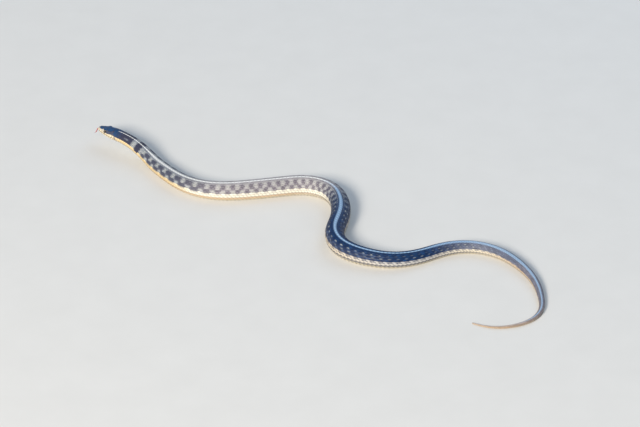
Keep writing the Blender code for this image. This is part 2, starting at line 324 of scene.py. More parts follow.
def even_ring(ring: Array, count: int) -> Array:
    """Give a ring of flat points a number of evenly spaced points, straight between the given ones."""
    closed = np.concatenate([ring, ring[:1]])
    along = np.concatenate([[0.0], np.cumsum(np.linalg.norm(np.diff(closed, axis=0), axis=1))])
    even = np.linspace(0, along[-1], count, endpoint=False)
    return np.stack([np.interp(even, along, closed[:, axis]) for axis in range(2)], axis=1)


@dataclass
class Half:
    """The upper or the lower half of the form, as a fine table of its points and normals."""

    spine: Spine
    upper: bool
    rows: Array
    columns: int = 48
    local: Array = field(init=False)
    length: Array = field(init=False)
    points: Array = field(init=False)
    normals: Array = field(init=False)

    def __post_init__(self) -> None:
        """Work out the outline of every row and put it on both sides of the spine."""
        setback = 0.0 if self.upper else JAW_SETBACK
        radius = SNOUT_ROUNDING if self.upper else JAW_ROUNDING
        at = nose_distance(self.rows, setback, radius)
        inside = np.clip((at - setback) / radius, 0.0, 1.0)
        tip = np.clip((TOTAL_LENGTH - at) / TIP_ROUNDING, 0.0, 1.0)
        share = np.sqrt(1 - (1 - inside) ** 2) * np.sqrt(1 - (1 - tip) ** 2)
        spread = (1 - np.cos(np.linspace(0, math.pi, 120))) * math.pi / 4
        mouth = np.where(at < HEAD_LENGTH, mouth_rise(at), 0.0)
        edge = mouth + (lip_gap(at) if self.upper else -lip_gap(at)) / 2
        back = smooth_step((at - CROWN_FLAT) / (HEAD_LENGTH - CROWN_FLAT))
        first_power = CROWN_POWER if self.upper else CHIN_POWER
        power = first_power + (BODY_POWER - first_power) * back
        reach = (crown_height(at) - edge if self.upper else -(chin_depth(at) + edge)) * share
        root = (2 / power)[:, None]
        sideways = (half_width(at) * share)[:, None] * np.sin(spread)[None] ** root
        upwards = edge[:, None] + reach[:, None] * np.abs(np.cos(spread))[None] ** root
        outline, self.length = resample(np.stack([sideways, upwards], -1), self.columns)
        mirrored = outline[:, :0:-1] * np.array([-1.0, 1.0])
        ring = np.concatenate([mirrored, outline], axis=1)
        far = np.repeat(at[:, None], ring.shape[1], axis=1)
        self.local = np.concatenate([far[..., None], ring], axis=2)
        self.points = self.spine.place(far, ring[..., 0], ring[..., 1])
        self.points[..., 2] = np.maximum(self.points[..., 2], 0.0)
        normal = np.cross(np.gradient(self.points, axis=0), np.gradient(self.points, axis=1))
        outward = self.points - self.spine.frame(far)[0]
        self.normals = unit(normal) * np.sign((normal * outward).sum(-1).mean())
        _point, left, up = self.spine.frame(np.array([0.0, TOTAL_LENGTH]))
        self.normals[0] = np.cross(left[0], up[0])
        self.normals[-1] = np.cross(up[1], left[1])

    def read(self, table: Array, row: Array, across: Array) -> Array:
        """Read a table between its rows and columns.

        Args:
            table: one of this half's tables.
            row: row coordinates.
            across: the way across, from -1 at the right edge over 0 in the middle to 1 at the left.

        Returns:
            The table's values, linear between its four nearest entries.
        """
        down = np.interp(row, self.rows, np.arange(len(self.rows)))
        right = np.clip((across + 1) * self.columns, 0, 2 * self.columns)
        i = np.minimum(down.astype(int), len(self.rows) - 2)
        j = np.minimum(right.astype(int), 2 * self.columns - 1)
        a = (down - i)[..., None]
        b = (right - j)[..., None]
        return (
            table[i, j] * (1 - a) * (1 - b)
            + table[i + 1, j] * a * (1 - b)
            + table[i, j + 1] * (1 - a) * b
            + table[i + 1, j + 1] * a * b
        )


@dataclass
class Form:
    """The whole outer form, read by row and turn, with the head's relief laid over it."""

    spine: Spine = field(default_factory=Spine)
    upper: Half = field(init=False)
    lower: Half = field(init=False)
    rows: Array = field(init=False)

    def __post_init__(self) -> None:
        """Choose fine rows on the head and the tail tip and coarser ones between."""
        tip = TOTAL_LENGTH - TIP_ROUNDING * (1 - np.sin(np.linspace(0, math.pi / 2, 10)))
        self.rows = np.concatenate([
            np.linspace(0, 34 * MM, 273),
            np.arange(34.5 * MM, TOTAL_LENGTH - TIP_ROUNDING - 0.2 * MM, 0.5 * MM),
            tip,
        ])
        self.upper = Half(self.spine, True, self.rows)
        self.lower = Half(self.spine, False, self.rows)

    def row_at(self, distance: Array, upper: bool = True) -> Array:
        """The row coordinate whose upper or lower surface lies at a distance."""
        half = self.upper if upper else self.lower
        return np.interp(distance, half.local[:, 0, 0], self.rows)

    def quarter(self, row: Array, upper: bool = True) -> Array:
        """Length over the surface from the middle of the back, or of the belly, to the mouth line."""
        half = self.upper if upper else self.lower
        return np.interp(row, self.rows, half.length)

    def half_round(self, row: Array) -> Array:
        """Length over the surface from the middle of the back to the middle of the belly."""
        return self.quarter(row) + self.quarter(row, False)

    def turn_of_share(self, row: Array, share: Array) -> Array:
        """Turn whose length up from the middle of the belly is a share of the half round.

        Args:
            row: row coordinates.
            share: 0 at the belly's middle, 1 at the back's middle, past 1 on the right side, and
                negative past the belly's middle.

        Returns:
            The turn, positive on the left.
        """
        whole = self.half_round(row)
        above = self.quarter(row)
        down = (1 - share) * whole
        size = np.abs(down)
        turn = np.where(size <= above, size / above, 1 + (size - above) / (whole - above))
        return np.sign(down) * turn

    def share_of_turn(self, row: Array, turn: Array) -> Array:
        """Share of the half round at a turn, from 0 at the belly's middle to 1 at the back's."""
        whole = self.half_round(row)
        above = self.quarter(row)
        size = np.abs(turn)
        down = np.where(size <= 1, size * above, above + (size - 1) * (whole - above))
        return 1 - down / np.maximum(whole, 1e-6)

    def both(self, name: str, row: Array, turn: Array) -> Array:
        """Read a table of the upper half where the turn is within 1, and of the lower half elsewhere.

        Args:
            name: the table's name.
            row: row coordinates.
            turn: turns round the body.

        Returns:
            The table's values, on a last axis of 3.
        """
        above = self.upper.read(getattr(self.upper, name), row, np.clip(turn, -1, 1))
        across = np.sign(turn) * (2 - np.abs(turn))
        below = self.lower.read(getattr(self.lower, name), row, np.clip(across, -1, 1))
        return np.where((np.abs(turn) <= 1)[..., None], above, below)

    def relief(self, local: Array) -> Array:
        """Height of the head's own folds over the plain form.

        The eye's rim stands up in a ring round the opening and the socket falls away inside it. The brow
        is a hill above the eye, the side between eye and nostril is hollow, the cheek swells, both lips
        roll out beside the mouth line, and the nostril is a small pit.

        Args:
            local: distance, sideways and upward lengths of points on the form.

        Returns:
            The height to add along the normal.
        """
        at, sideways, upwards = local[..., 0], np.abs(local[..., 1]), local[..., 2]
        behind = (at - EYE_BACK) / EYE_OPENING[0]
        above = (upwards - EYE_UP) / EYE_OPENING[1]
        ring = np.hypot(behind, above)
        outer = ramp(sideways, 2.6 * MM, 3.4 * MM)
        rim = 0.16 * MM * bump(ring, 1.12, 0.45) * outer
        socket = -0.75 * MM * (1 - ramp(ring, 0.62, 1.0)) * ramp(sideways, 3.4 * MM, 3.9 * MM)
        brow = 0.42 * MM * bump(at, EYE_BACK, 3.3 * MM) * bump(sideways, 3.35 * MM, 1.1 * MM)
        brow = brow * ramp(upwards, 2.4 * MM, 3.2 * MM)
        loreal = -0.22 * MM * bump(at, 6.0 * MM, 2.8 * MM) * bump(upwards, 1.2 * MM, 1.3 * MM)
        loreal = loreal * ramp(sideways, 2.6 * MM, 3.4 * MM)
        cheek = 0.25 * MM * bump(at, 17.5 * MM, 4.5 * MM) * bump(upwards, 0.6 * MM, 2.4 * MM)
        middle = -0.10 * MM * bump(at, 9.5 * MM, 4.5 * MM) * bump(sideways, 0.0, 1.8 * MM)
        middle = middle * ramp(upwards, 2.0 * MM, 3.0 * MM)
        nostril = np.hypot(at - 1.95 * MM, upwards - 0.98 * MM)
        pit = -0.45 * MM * bump(nostril, 0.0, 0.42 * MM) * ramp(sideways, 1.6 * MM, 2.2 * MM)
        lip = upwards - mouth_rise(at)
        roll = 0.10 * MM * bump(np.abs(lip), 0.75 * MM, 0.75 * MM) * (1 - ramp(at, 19 * MM, 22 * MM))
        groove = -0.14 * MM * bump(sideways, 0.0, 0.35 * MM) * bump(at, 9 * MM, 5 * MM)
        groove = groove * (upwards < 0)
        return rim + socket + brow + loreal + cheek + middle + pit + roll + groove

    def place(self, row: Array, turn: Array, lift: Array) -> Array:
        """Points on the form, raised along its normal by a lift, and never below the floor.

        Args:
            row: row coordinates.
            turn: turns round the body.
            lift: height above the plain form with its relief.

        Returns:
            The points, with a last axis of 3.
        """
        point = self.both("points", row, turn)
        normal = unit(self.both("normals", row, turn))
        raised = np.asarray(lift)
        if row.min() < HEAD_LENGTH:
            raised = raised + self.relief(self.both("local", row, turn))
        point = point + normal * raised[..., None]
        point[..., 2] = np.maximum(point[..., 2], 0.0)
        return point


@dataclass
class Lattice:
    """Where every scale row runs and where each scale in it lies.

    A place round the body is given by its share of the half round, from 0 at the belly's middle to 1 at
    the back's middle. The belly plates end at the belly share, nine rows follow on each side, and the
    tenth row lies on the back's middle. Neighbouring rows are half a scale apart along the body. Towards
    the tail the rows run out one by one, and the rows above each one slide back by that half scale.
    """

    form: Form
    widths: tuple[float, ...] = (1.6, 1.2, 1.1, 1.0, 1.0, 1.0, 1.0, 1.0, 1.0, 0.475)
    row_ends: tuple[float, ...] = (9.0, 0.510, 0.470, 0.300, 0.492, 0.530, 0.556, 0.590, 9.0, 9.0)
    fade: float = 9 * MM
    first_centre: tuple[float, ...] = (
        0.0150, 0.0205, 0.0232, 0.0232, 0.0216, 0.0207, 0.0203, 0.0199, 0.0196, 0.0192,
    )
    pitch_stations: Array = field(default_factory=lambda: MM * np.array([
        (12.0, 1.9), (22.0, 2.1), (40.0, 2.6), (90.0, 2.9), (160.0, 3.1), (260.0, 3.2), (400.0, 3.1),
        (476.0, 2.8), (560.0, 2.1), (625.0, 1.3),
    ]))
    distance: Array = field(init=False)
    count: Array = field(init=False)

    def __post_init__(self) -> None:
        """Add up the number of scales along the body."""
        self.distance = np.linspace(10 * MM, TOTAL_LENGTH, 3000)
        rate = 1 / self.pitch(self.distance)
        gap = self.distance[1] - self.distance[0]
        self.count = np.concatenate([[0.0], np.cumsum((rate[1:] + rate[:-1]) / 2)]) * gap

    def pitch(self, distance: Array) -> Array:
        """Length of body that one scale takes."""
        return smooth_through(distance, self.pitch_stations[:, 0], self.pitch_stations[:, 1])

    def coat_size(self, distance: Array) -> Array:
        """How large the coat's relief is there, beside the middle of the trunk."""
        return np.clip(self.pitch(distance) / (3.0 * MM), 0.4, 1.05)

    def skin_depth(self, distance: Array) -> Array:
        """How far the skin lies inside the form: shallow under the head plates, deeper behind."""
        coat = 0.33 * MM * self.coat_size(distance)
        return 0.15 * MM + (coat - 0.15 * MM) * ramp(distance, 15 * MM, 22 * MM)

    def belly_share(self, distance: Array) -> Array:
        """Share of the half round that the belly plates cover."""
        return 0.30 - 0.07 * ramp(distance, VENT - 10 * MM, VENT + 30 * MM)

    def present(self, distance: Array) -> Array:
        """How far each of the ten rows is there, on a last axis of 10: 1 on the trunk, 0 past its end."""
        ends = np.array(self.row_ends)
        return 1 - smooth_step((distance[..., None] - ends) / self.fade)

    def edges(self, distance: Array) -> Array:
        """Shares at which the rows meet, on a last axis of 11, from the belly plates to the back."""
        wide = np.array(self.widths) * self.present(distance)
        stack = np.cumsum(wide, axis=-1)
        belly = self.belly_share(distance)[..., None]
        shares = belly + (1 - belly) * stack / stack[..., -1:]
        return np.concatenate([belly, shares], axis=-1)

    def counted(self, row: int, distance: Array) -> Array:
        """Scale count along one row: the body's count less half a scale for each row below it."""
        count = np.interp(distance, self.distance, self.count)
        if row <= 0:
            return count + 0.5 * (row + 1)
        return count - self.present(distance)[..., :row - 1].sum(axis=-1) / 2

    def band(self, row: int, distance: Array) -> tuple[Array, Array]:
        """Lower and upper share of one row; the throat's rows divide the belly's share among them."""
        edges = self.edges(distance)
        if row > 0:
            return edges[..., row - 1], edges[..., row]
        if row == UNDER_TAIL:
            return 0 * edges[..., 0], edges[..., 0]
        order = THROAT_ROWS.index(row)
        return edges[..., 0] * order / len(THROAT_ROWS), edges[..., 0] * (order + 1) / len(THROAT_ROWS)

    def centres(self, row: int) -> tuple[Array, Array]:
        """Distances of the scales' centres along one row, and each scale's own number."""
        along = self.counted(row, self.distance)
        if row > 0:
            start = self.first_centre[row - 1]
            end = min(self.row_ends[row - 1] + self.fade * 0.6, TOTAL_LENGTH - 1.0 * MM)
        elif row == UNDER_TAIL:
            start = VENT + 1.8 * MM
            end = TOTAL_LENGTH - 1.0 * MM
        else:
            start = THROAT_START
            end = THROAT_END
        first = np.interp(start, self.distance, along)
        last = np.interp(end, self.distance, along)
        numbers = np.arange(math.ceil(first), math.floor(last) + 1)
        return np.interp(numbers, along, self.distance), numbers


@dataclass
class Markings:
    """The stripes, spots and flecks as masks over distance and share, the same for skin and scales."""

    lattice: Lattice
    period_stations: Array = field(default_factory=lambda: MM * np.array([
        (20.0, 10.0), (50.0, 11.4), (120.0, 11.4), (150.0, 7.6), (260.0, 7.4), (340.0, 6.6), (625.0, 6.0),
    ]))
    first_spot: float = 62.6 * MM
    stripe_low: float = 0.405
    stripe_high: float = 0.565
    lower_spots: float = 0.612
    upper_spots: float = 0.775

    def cycle(self, distance: Array) -> Array:
        """Number of the spot along the body: whole at the centre of each spot in the upper row."""
        at = np.linspace(0, TOTAL_LENGTH, 2500)
        rate = 1 / smooth_through(at, self.period_stations[:, 0], self.period_stations[:, 1])
        total = np.concatenate([[0.0], np.cumsum((rate[1:] + rate[:-1]) / 2)]) * at[1]
        return np.interp(distance, at, total) - np.interp(self.first_spot, at, total)

    def spot_row(self, cycle: Array, share: Array, centre: float, reach: float, wide: float) -> Array:
        """Squarish spots in a row: a flat hill along the body times a flat hill round it.

        Args:
            cycle: number of the spot along the body.
            share: share of the half round.
            centre: share at the spots' middle.
            reach: half the spots' height, as a share.
            wide: half the spots' length, as a part of the cycle.

        Returns:
            The spots' mask.
        """
        along = np.abs(cycle - np.round(cycle))
        return (1 - ramp(along, wide - 0.08, wide + 0.08)) * (
            1 - ramp(np.abs(share - centre), reach - 0.015, reach + 0.02)
        )

    def masks(self, distance: Array, share: Array, side: Array) -> dict[str, Array]:
        """Work out every mask.

        Args:
            distance: distance along the spine.
            share: share of the half round, from the belly's middle to the back's.
            side: 1 on the left and -1 on the right, whose spots stand a little further back.

        Returns:
            Masks from 0 to 1 by name: stripe, flank, spot, pale, belly, slate, brown, crown, tan, blush.
            Slate is the hind body's own darker tone with painted blue shade, crown is painted blue sky
            reflection on the head, and blush is painted warm shade along the flank's lower edge.
        """

        def past(start: float, end: float) -> Array:
            """Ease from 0 to 1 between two distances in millimetres."""
            return ramp(distance, start * MM, end * MM)

        def near(centre: float, reach: float) -> Array:
            """A hill on the body, its centre and reach in millimetres."""
            return bump(distance, centre * MM, reach * MM)

        back_reach = 0.45 * MM + 0.90 * MM * past(24, 80) + 0.30 * MM * near(290, 60)
        back_reach = (back_reach - 0.30 * MM * near(385, 35)) * (1 - 0.55 * past(470, 600))
        from_back = np.abs(1 - share) * self.lattice.form.half_round(distance)
        stripe = 1 - ramp(from_back, back_reach - 0.20 * MM, back_reach + 0.20 * MM)
        low = self.stripe_low - 0.03 * (1 - past(150, 300))
        high = self.stripe_high
        above_belly = ramp(share, low - 0.02, low + 0.02)
        flank = above_belly * (1 - ramp(share, high - 0.018, high + 0.018)) * past(21, 25)
        cycle = self.cycle(distance) + 0.22 * (side < 0)
        spotted = past(53, 57)
        fine = past(128, 150)
        upper = self.spot_row(cycle, share, self.upper_spots, 0.095, 0.31 - 0.06 * fine)
        lower = self.spot_row(cycle + 0.5, share, self.lower_spots, 0.085, 0.31 - 0.06 * fine)
        collar = near(48.4, 5.6)
        streak = near(34, 4) * bump(share, 0.74, 0.07)
        dark_neck = np.maximum(1 - past(39.3, 41.0), ramp(collar, 0.25, 0.55)) * (1 - spotted)
        dark_neck = dark_neck * ramp(share, high - 0.02, high + 0.02) * (1 - 0.7 * streak)
        bite = ramp(share, high - 0.085, high - 0.045) * ramp(collar, 0.45, 0.75) * (1 - spotted)
        spot = np.maximum.reduce([np.maximum(upper, lower) * spotted * 0.80, dark_neck, bite])
        flank = flank * (1 - spot * (1 - 0.35 * fine))
        beside = bump(from_back, back_reach + 0.50 * MM, 0.50 * MM) * past(45, 60)
        spot = np.maximum(spot, 0.45 * beside)
        pale = (1 - spot) * ramp(share, 0.50, 0.54) * (1 - ramp(share, 0.90, 0.95))
        pale = pale * (0.55 + 0.45 * np.cos(2 * math.pi * (cycle * 2 + 0.5)) ** 2)
        gone = past(400, 450)
        # Less painted shade on the lower flank round the second bend, whose side is lit.
        sunlit_lower_flank = near(315, 62) * (1 - ramp(share, 0.62, 0.86))
        return {
            "stripe": stripe * past(21, 25) * (1 - spot * 0.2),
            "flank": flank,
            "spot": spot * (1 - gone),
            "pale": pale * (1 - gone),
            "belly": 1 - above_belly,
            # The hind body's own darker tone, with painted blue shade over it.
            "slate": past(225, 278) * (1 - 0.50 * gone) * (1 - 0.42 * sunlit_lower_flank),
            "brown": 0.16 * gone + past(98, 155) * (1 - past(222, 268)),
            # Painted blue sky reflection on the head's dark plates, fading out over the nape.
            "crown": 1 - past(20, 30),
            "tan": 0.70 * past(440, 500) + 0.30 * past(540, 600),
            # Painted warm shade along the flank's lower edge on the fore body.
            "blush": bump(share, low - 0.01, 0.065) * past(45, 90) * (1 - past(190, 260)),
        }


# The masks that each colour attribute of a mesh holds.
ATTRIBUTES = {
    "tones": ("stripe", "flank", "spot"),
    "zones": ("slate", "brown", "belly"),
    "grains": ("pale", "edge", "chance"),
    "ends": ("crown", "tan", "blush"),
}


@dataclass
class Surface:
    """A mesh being gathered: points with their masks, and faces with their map corners."""

    points: list[Array] = field(default_factory=list)
    masks: list[dict[str, Array]] = field(default_factory=list)
    faces: list[Array] = field(default_factory=list)
    bake_corners: list[Array] = field(default_factory=list)
    place_corners: list[Array] = field(default_factory=list)
    total: int = 0

    def add(self, points: Array, faces: list[Array], masks: dict[str, Array], where: Array,
            place: Array, closed: bool = False) -> None:
        """Add one batch.

        Args:
            points: points on a last axis of 3.
            faces: arrays of faces, each with 3 or 4 point numbers counted within the batch.
            masks: each mask's value at the points.
            where: bake coordinates of the points, on a last axis of 2.
            place: the points' places across and along their own scale, on a last axis of 2.
            closed: true if the map's first and last line are the same points, so that a face which
                joins them takes the far line's coordinates.
        """
        shape = points.shape[:-1]
        self.points.append(points.reshape(-1, 3))
        self.masks.append({name: np.broadcast_to(value, shape).ravel() for name, value in masks.items()})
        for batch in faces:
            corners = where.reshape(-1, 2)[batch]
            if closed:
                across = corners[..., 1]
                joins = (across.max(axis=1) - across.min(axis=1) > 0.5)[:, None]
                corners[..., 1] = np.where(joins & (across < 0.5), 1.0 - across, across)
            self.faces.append(batch + self.total)
            self.bake_corners.append(corners.reshape(-1, 2))
            self.place_corners.append(place.reshape(-1, 2)[batch].reshape(-1, 2))
        self.total += len(self.points[-1])

    def mask_colours(self, names: tuple[str, str, str]) -> Array:
        """Stack three masks of all points into one colour with full alpha."""
        none = [np.zeros(len(batch)) for batch in self.points]
        rows = [np.concatenate([batch.get(name, zero) for batch, zero in zip(self.masks, none)])
                for name in names]
        return np.stack([*rows, np.ones(self.total)], axis=1)

    def make(self, name: str, material: bpy.types.Material, sharp: float = 180.0) -> bpy.types.Object:
        """Turn the gathered batches into one object.

        Args:
            name: the piece's name.
            material: its finish.
            sharp: edges that turn by more than this angle in degrees are shaded sharp.

        Returns:
            The new object, linked to the scene, at the origin.
        """
        mesh = bpy.data.meshes.new(name)
        points = np.concatenate(self.points)
        corners = np.concatenate([batch.ravel() for batch in self.faces])
        sizes = np.concatenate([np.full(len(batch), batch.shape[1]) for batch in self.faces])
        mesh.vertices.add(len(points))
        mesh.vertices.foreach_set("co", points.astype(np.float32).ravel())
        mesh.loops.add(len(corners))
        mesh.loops.foreach_set("vertex_index", corners.astype(np.int32))
        mesh.polygons.add(len(sizes))
        starts = np.concatenate([[0], np.cumsum(sizes)[:-1]])
        mesh.polygons.foreach_set("loop_start", starts.astype(np.int32))
        mesh.update(calc_edges=True)
        for title, names in ATTRIBUTES.items():
            colours = mesh.attributes.new(title, "FLOAT_COLOR", "POINT")
            colours.data.foreach_set("color", self.mask_colours(names).astype(np.float32).ravel())
        for title, batches in (("OFBake", self.bake_corners), ("scale_place", self.place_corners)):
            layer = mesh.uv_layers.new(name=title)
            layer.data.foreach_set("uv", np.concatenate(batches).astype(np.float32).ravel())
        mesh.shade_smooth()
        if sharp < 180:
            mesh.set_sharp_from_angle(angle=math.radians(sharp))
        mesh.materials.append(material)
        piece = new_object(name, mesh)
        LOG.info("%s: %d points, %d triangles", name, len(points), (sizes - 2).sum())
        return piece


def new_object(name: str, data: bpy.types.ID) -> bpy.types.Object:
    """Make an object of some data and link it to the scene."""
    made = bpy.data.objects.new(name, data)
    bpy.context.scene.collection.objects.link(made)
    return made


def grid_faces(down: int, across: int) -> Array:
    """Four-cornered faces of a grid of points."""
    i, j = np.meshgrid(np.arange(down - 1), np.arange(across - 1), indexing="ij")
    corner = i * across + j
    return np.stack([corner, corner + 1, corner + across + 1, corner + across], axis=-1).reshape(-1, 4)


def tube_faces(rings: int, around: int) -> list[Array]:
    """Faces of a closed tube: walls between rings of points, and a fan to one more point at each end.

    The rings run with the clock as seen looking along the tube from before the first one, and the two
    end points follow them in the list of points.
    """
    index = np.arange(rings * around).reshape(rings, around)
    after = np.roll(index, -1, axis=1)
    walls = np.stack([index[:-1], after[:-1], after[1:], index[1:]], axis=-1).reshape(-1, 4)
    front = np.stack([after[0], index[0], np.full(around, index.size)], axis=1)
    rear = np.stack([index[-1], after[-1], np.full(around, index.size + 1)], axis=1)
    return [walls, front, rear]


def flipped(faces: list[Array]) -> list[Array]:
    """The same faces turned to look the other way."""
    return [batch[:, ::-1] for batch in faces]


def rim_loop(down: int, across: int) -> Array:
    """Point numbers round the rim of a grid, once round."""
    index = np.arange(down * across).reshape(down, across)
    return np.concatenate([index[0, :-1], index[:-1, -1], index[-1, :0:-1], index[:0:-1, 0]])


def repeated(faces: list[Array], count: int, points: int) -> list[Array]:
    """The same faces for each of a number of parts, which have so many points each."""
    offset = (np.arange(count) * points)[:, None, None]
    return [(batch[None] + offset).reshape(-1, batch.shape[1]) for batch in faces]


def place_grid(along: Array, across: Array, count: int) -> list[Array]:
    """Places along and across for each of a number of scales, on axes of scale, line and column."""
    grid = np.meshgrid(along, across, indexing="ij")
    return [np.broadcast_to(places, (count,) + places.shape) for places in grid]


@dataclass
class Unroll:
    """The skin unrolled into a few strips that fill a square, for the baked colours."""

    start: float
    end: float
    strips: int
    margin: float = 0.004
    inset: float = 0.01
    fill: float = 0.94

    def place(self, distance: Array, turn: Array) -> Array:
        """Bake coordinates: the length along the strip, and the strip's number plus the way round.

        Args:
            distance: distance along the spine.
            turn: turn round the body, from -2 to 2.

        Returns:
            Coordinates within the unit square, on a last axis of 2.
        """
        strip, part = self.strip_of(distance)
        return self.on_strip(strip, part, turn)

    def on_strip(self, strip: Array, part: Array, turn: Array) -> Array:
        """Bake coordinates on a known strip, at a part of its length."""
        across = (np.clip(turn, -2, 2) + 2) / 4
        high = (strip + self.margin + across * (1 - 2 * self.margin)) / self.strips
        return np.stack([self.inset + (1 - 2 * self.inset) * part, high], axis=-1)

    def strip_of(self, distance: Array) -> tuple[Array, Array]:
        """The strip that a distance falls on, and the part of the strip's length before it."""
        along = np.clip((distance - self.start) / (self.end - self.start), 0, 0.999999) * self.strips
        return np.floor(along), along - np.floor(along)

    def cells(self, centre: Array, pitch: Array, along: Array) -> tuple[Array, Array]:
        """Find each scale's strip, and its points' parts of the strip, drawn in to its own cell.

        Args:
            centre: distances of the scales' centres.
            pitch: length of body that each scale takes.
            along: places along the scales.

        Returns:
            The strips' numbers, and the parts of their length.
        """
        strip, part = self.strip_of(centre)
        step = pitch * self.strips / (self.end - self.start)
        return strip, np.clip(part + (along - 0.5) * self.fill * step, -0.008, 1.008)


@dataclass
class Coat:
    """What every part of the coat follows: the form, the lattice of its scales and the markings."""

    form: Form
    lattice: Lattice
    markings: Markings


@dataclass
class Scales(Coat):
    """Keeled scales over the back and sides, each a thin closed leaf with a ridge and a free rear.

    A scale is a grid of points with one more under its middle. Its places run along from 0 at the tucked
    front to 1 at the free rear, and across from -1 to 1.
    """

    overlap: float = 1.75
    depth: float = 0.30 * MM
    leaf: float = 0.09 * MM
    clearance: float = 0.03 * MM
    dome: float = 0.07 * MM
    keel: float = 0.13 * MM
    keel_reach: float = 0.16
    unevenness: float = 0.02 * MM
    side_spread: float = 1.24
    back_spread: float = 1.16
    least_width: float = 0.35
    mark_snap: float = 0.55
    mark_place: float = 0.08
    cell_width: float = 0.70
    reach: tuple[float, float] = (13 * MM, TOTAL_LENGTH - 0.05 * MM)
    across: Array = field(default_factory=lambda: np.array([-1.0, -0.62, -0.16, 0.0, 0.16, 0.62, 1.0]))
    along: Array = field(default_factory=lambda: np.array([0.0, 0.30, 0.52, 0.70, 0.84, 0.94, 1.0]))

    def build(self, name: str, unroll: Unroll, material: bpy.types.Material) -> bpy.types.Object:
        """Build the scales of one length of the body, all rows on both sides.

        Args:
            name: the piece's name.
            unroll: the length, and its unrolled skin that gives bake coordinates.
            material: its finish.

        Returns:
            The new piece.
        """
        surface = Surface()
        for side in (1, -1):
            for row in (*THROAT_ROWS, *range(10)):
                self.add_row(surface, row, side, unroll)
        self.add_row(surface, 10, 0, unroll)
        return surface.make(name, material, 66.0)

    def outline(self, along: Array) -> Array:
        """Half width along a scale: a rounded shoulder that narrows to a blunt point at the rear."""
        front = 0.80 + 0.20 * smooth_step(along / 0.5)
        rear = np.clip((along - 0.50) / 0.50, 0, 1)
        return front * (1 - rear ** 2.3) ** 0.62 + 0.035 * (along > 0.99)

    def band(self, row: int, side: int, centre: Array, at: Array) -> tuple[Array, Array]:
        """Find where a row lies. A row that runs out keeps part of each scale's own width.

        Args:
            row: number of the row.
            side: 1 for the left, -1 for the right, 0 for the row on the middle.
            centre: distances of the scales' centres.
            at: distances of their points.

        Returns:
            The row's middle and the scales' half width, as shares of the half round.
        """
        if not side:
            return np.ones(at.shape), (1 - self.lattice.edges(at)[..., 9]) * self.back_spread
        low, high = self.lattice.band(row, at)
        own_low, own_high = self.lattice.band(row, centre)
        least = (own_high - own_low) * self.least_width
        return (low + high) / 2, np.maximum((high - low) / 2, least) * self.side_spread

    def height(self, row: int, along: Array, across: Array, chance: Array) -> Array:
        """Height over the form where the coat has its full size.

        It rises from the tucked front to the free rear, falls off to both sides as a dome, and has a
        ridge along the middle line, which is low on the first rows and missing under throat and tail.

        Args:
            row: number of the row.
            along: places along the scales.
            across: places across them.
            chance: each scale's own random number.

        Returns:
            The height of each point.
        """
        ridge = (1 - np.abs(across) / self.keel_reach).clip(0, 1)
        ridge = ridge * np.sin(math.pi * np.clip(along, 0.12, 0.97))
        strong = {1: 0.35, 2: 0.8}.get(row, float(row > 0))
        lift = self.depth * along ** 0.9 - self.depth - self.clearance
        lift = lift - self.dome * np.abs(across) ** 2.4 + strong * self.keel * ridge
        return lift + self.unevenness * (chance - 0.5)

    def add_row(self, surface: Surface, row: int, side: int, unroll: Unroll) -> None:
        """Add one row's scales whose centres lie on one length of the body.

        Args:
            surface: where the scales go.
            row: number of the row, 1 beside the belly plates and 10 on the back's middle.
            side: 1 for the left, -1 for the right, 0 for the row on the middle.
            unroll: the length, and its unrolled skin that gives bake coordinates.
        """
        centre, number = self.lattice.centres(row)
        keep = (centre >= unroll.start) & (centre < unroll.end)
        if not keep.any():
            return
        centre = centre[keep][:, None, None]
        number = number[keep][:, None, None]
        chance = np.random.default_rng(SEED * 100 + row * 7 + side).random((len(centre), 3, 1, 1))
        along, across = place_grid(self.along, self.across, len(centre))
        pitch = self.lattice.pitch(centre)
        length = pitch * self.overlap
        at = np.clip(centre + (along - 0.5) * length, *self.reach)
        middle, wide = self.band(row, side, centre, at)
        share = middle + across * wide * self.outline(along) * (1 if side else -1)
        turn = self.form.turn_of_share(at, share) * (side or 1)
        size = self.lattice.coat_size(centre)
        top = self.form.place(at, turn, self.height(row, along, across, chance[:, 0]) * size)
        line = len(self.along) // 2
        column = len(self.across) // 2
        own_turn = turn[:, line:line + 1, column:column + 1]
        under = self.form.place(centre, own_turn, -(self.depth + self.leaf) * size)
        snap = self.mark_snap
        marks_at = at * (1 - snap) + (centre + self.mark_place * length) * snap
        marks_share = share * (1 - snap) + np.mean(share, axis=(1, 2), keepdims=True) * snap
        marks_share = np.where(marks_share > 1, 2 - marks_share, marks_share)
        masks = self.markings.masks(marks_at, marks_share, np.full(at.shape, side or 1))
        self.fleck(masks, row, number, centre, along, across)
        masks["chance"] = np.broadcast_to(chance[:, 1], at.shape)
        masks["edge"] = ramp(np.abs(across), 0.45, 1.0) * 0.6 + 0.5 * ramp(along, 0.8, 1.0)
        masks["edge"] = masks["edge"] * (1 - 0.8 * masks["pale"])
        strip, within = unroll.cells(centre, pitch, along)
        where = unroll.on_strip(strip, within, own_turn + (turn - own_turn) * self.cell_width)
        place = np.stack([across, along], axis=-1)
        surface.add(
            self.listed(top, under), self.faces(len(centre), side),
            {name: self.listed(value) for name, value in masks.items()}, self.listed(where),
            self.listed(place),
        )

    def listed(self, values: Array, under: Array | None = None) -> Array:
        """Each scale's values in one line, then the one under it, which by default is the middle one."""
        lines = values.reshape(len(values), -1, *values.shape[3:])
        heart = lines.shape[1] // 2
        under = lines[:, heart:heart + 1] if under is None else under[:, 0]
        return np.concatenate([lines, under], axis=1)

    def faces(self, count: int, side: int) -> list[Array]:
        """Faces of a number of scales: a grid on top, and a fan from its rim to the point under it."""
        shape = len(self.along), len(self.across)
        loop = rim_loop(*shape)
        heart = shape[0] * shape[1]
        fan = np.stack([np.roll(loop, -1), loop, np.full(len(loop), heart)], axis=1)
        faces = [grid_faces(*shape), fan]
        return repeated(flipped(faces) if side > 0 else faces, count, heart + 1)

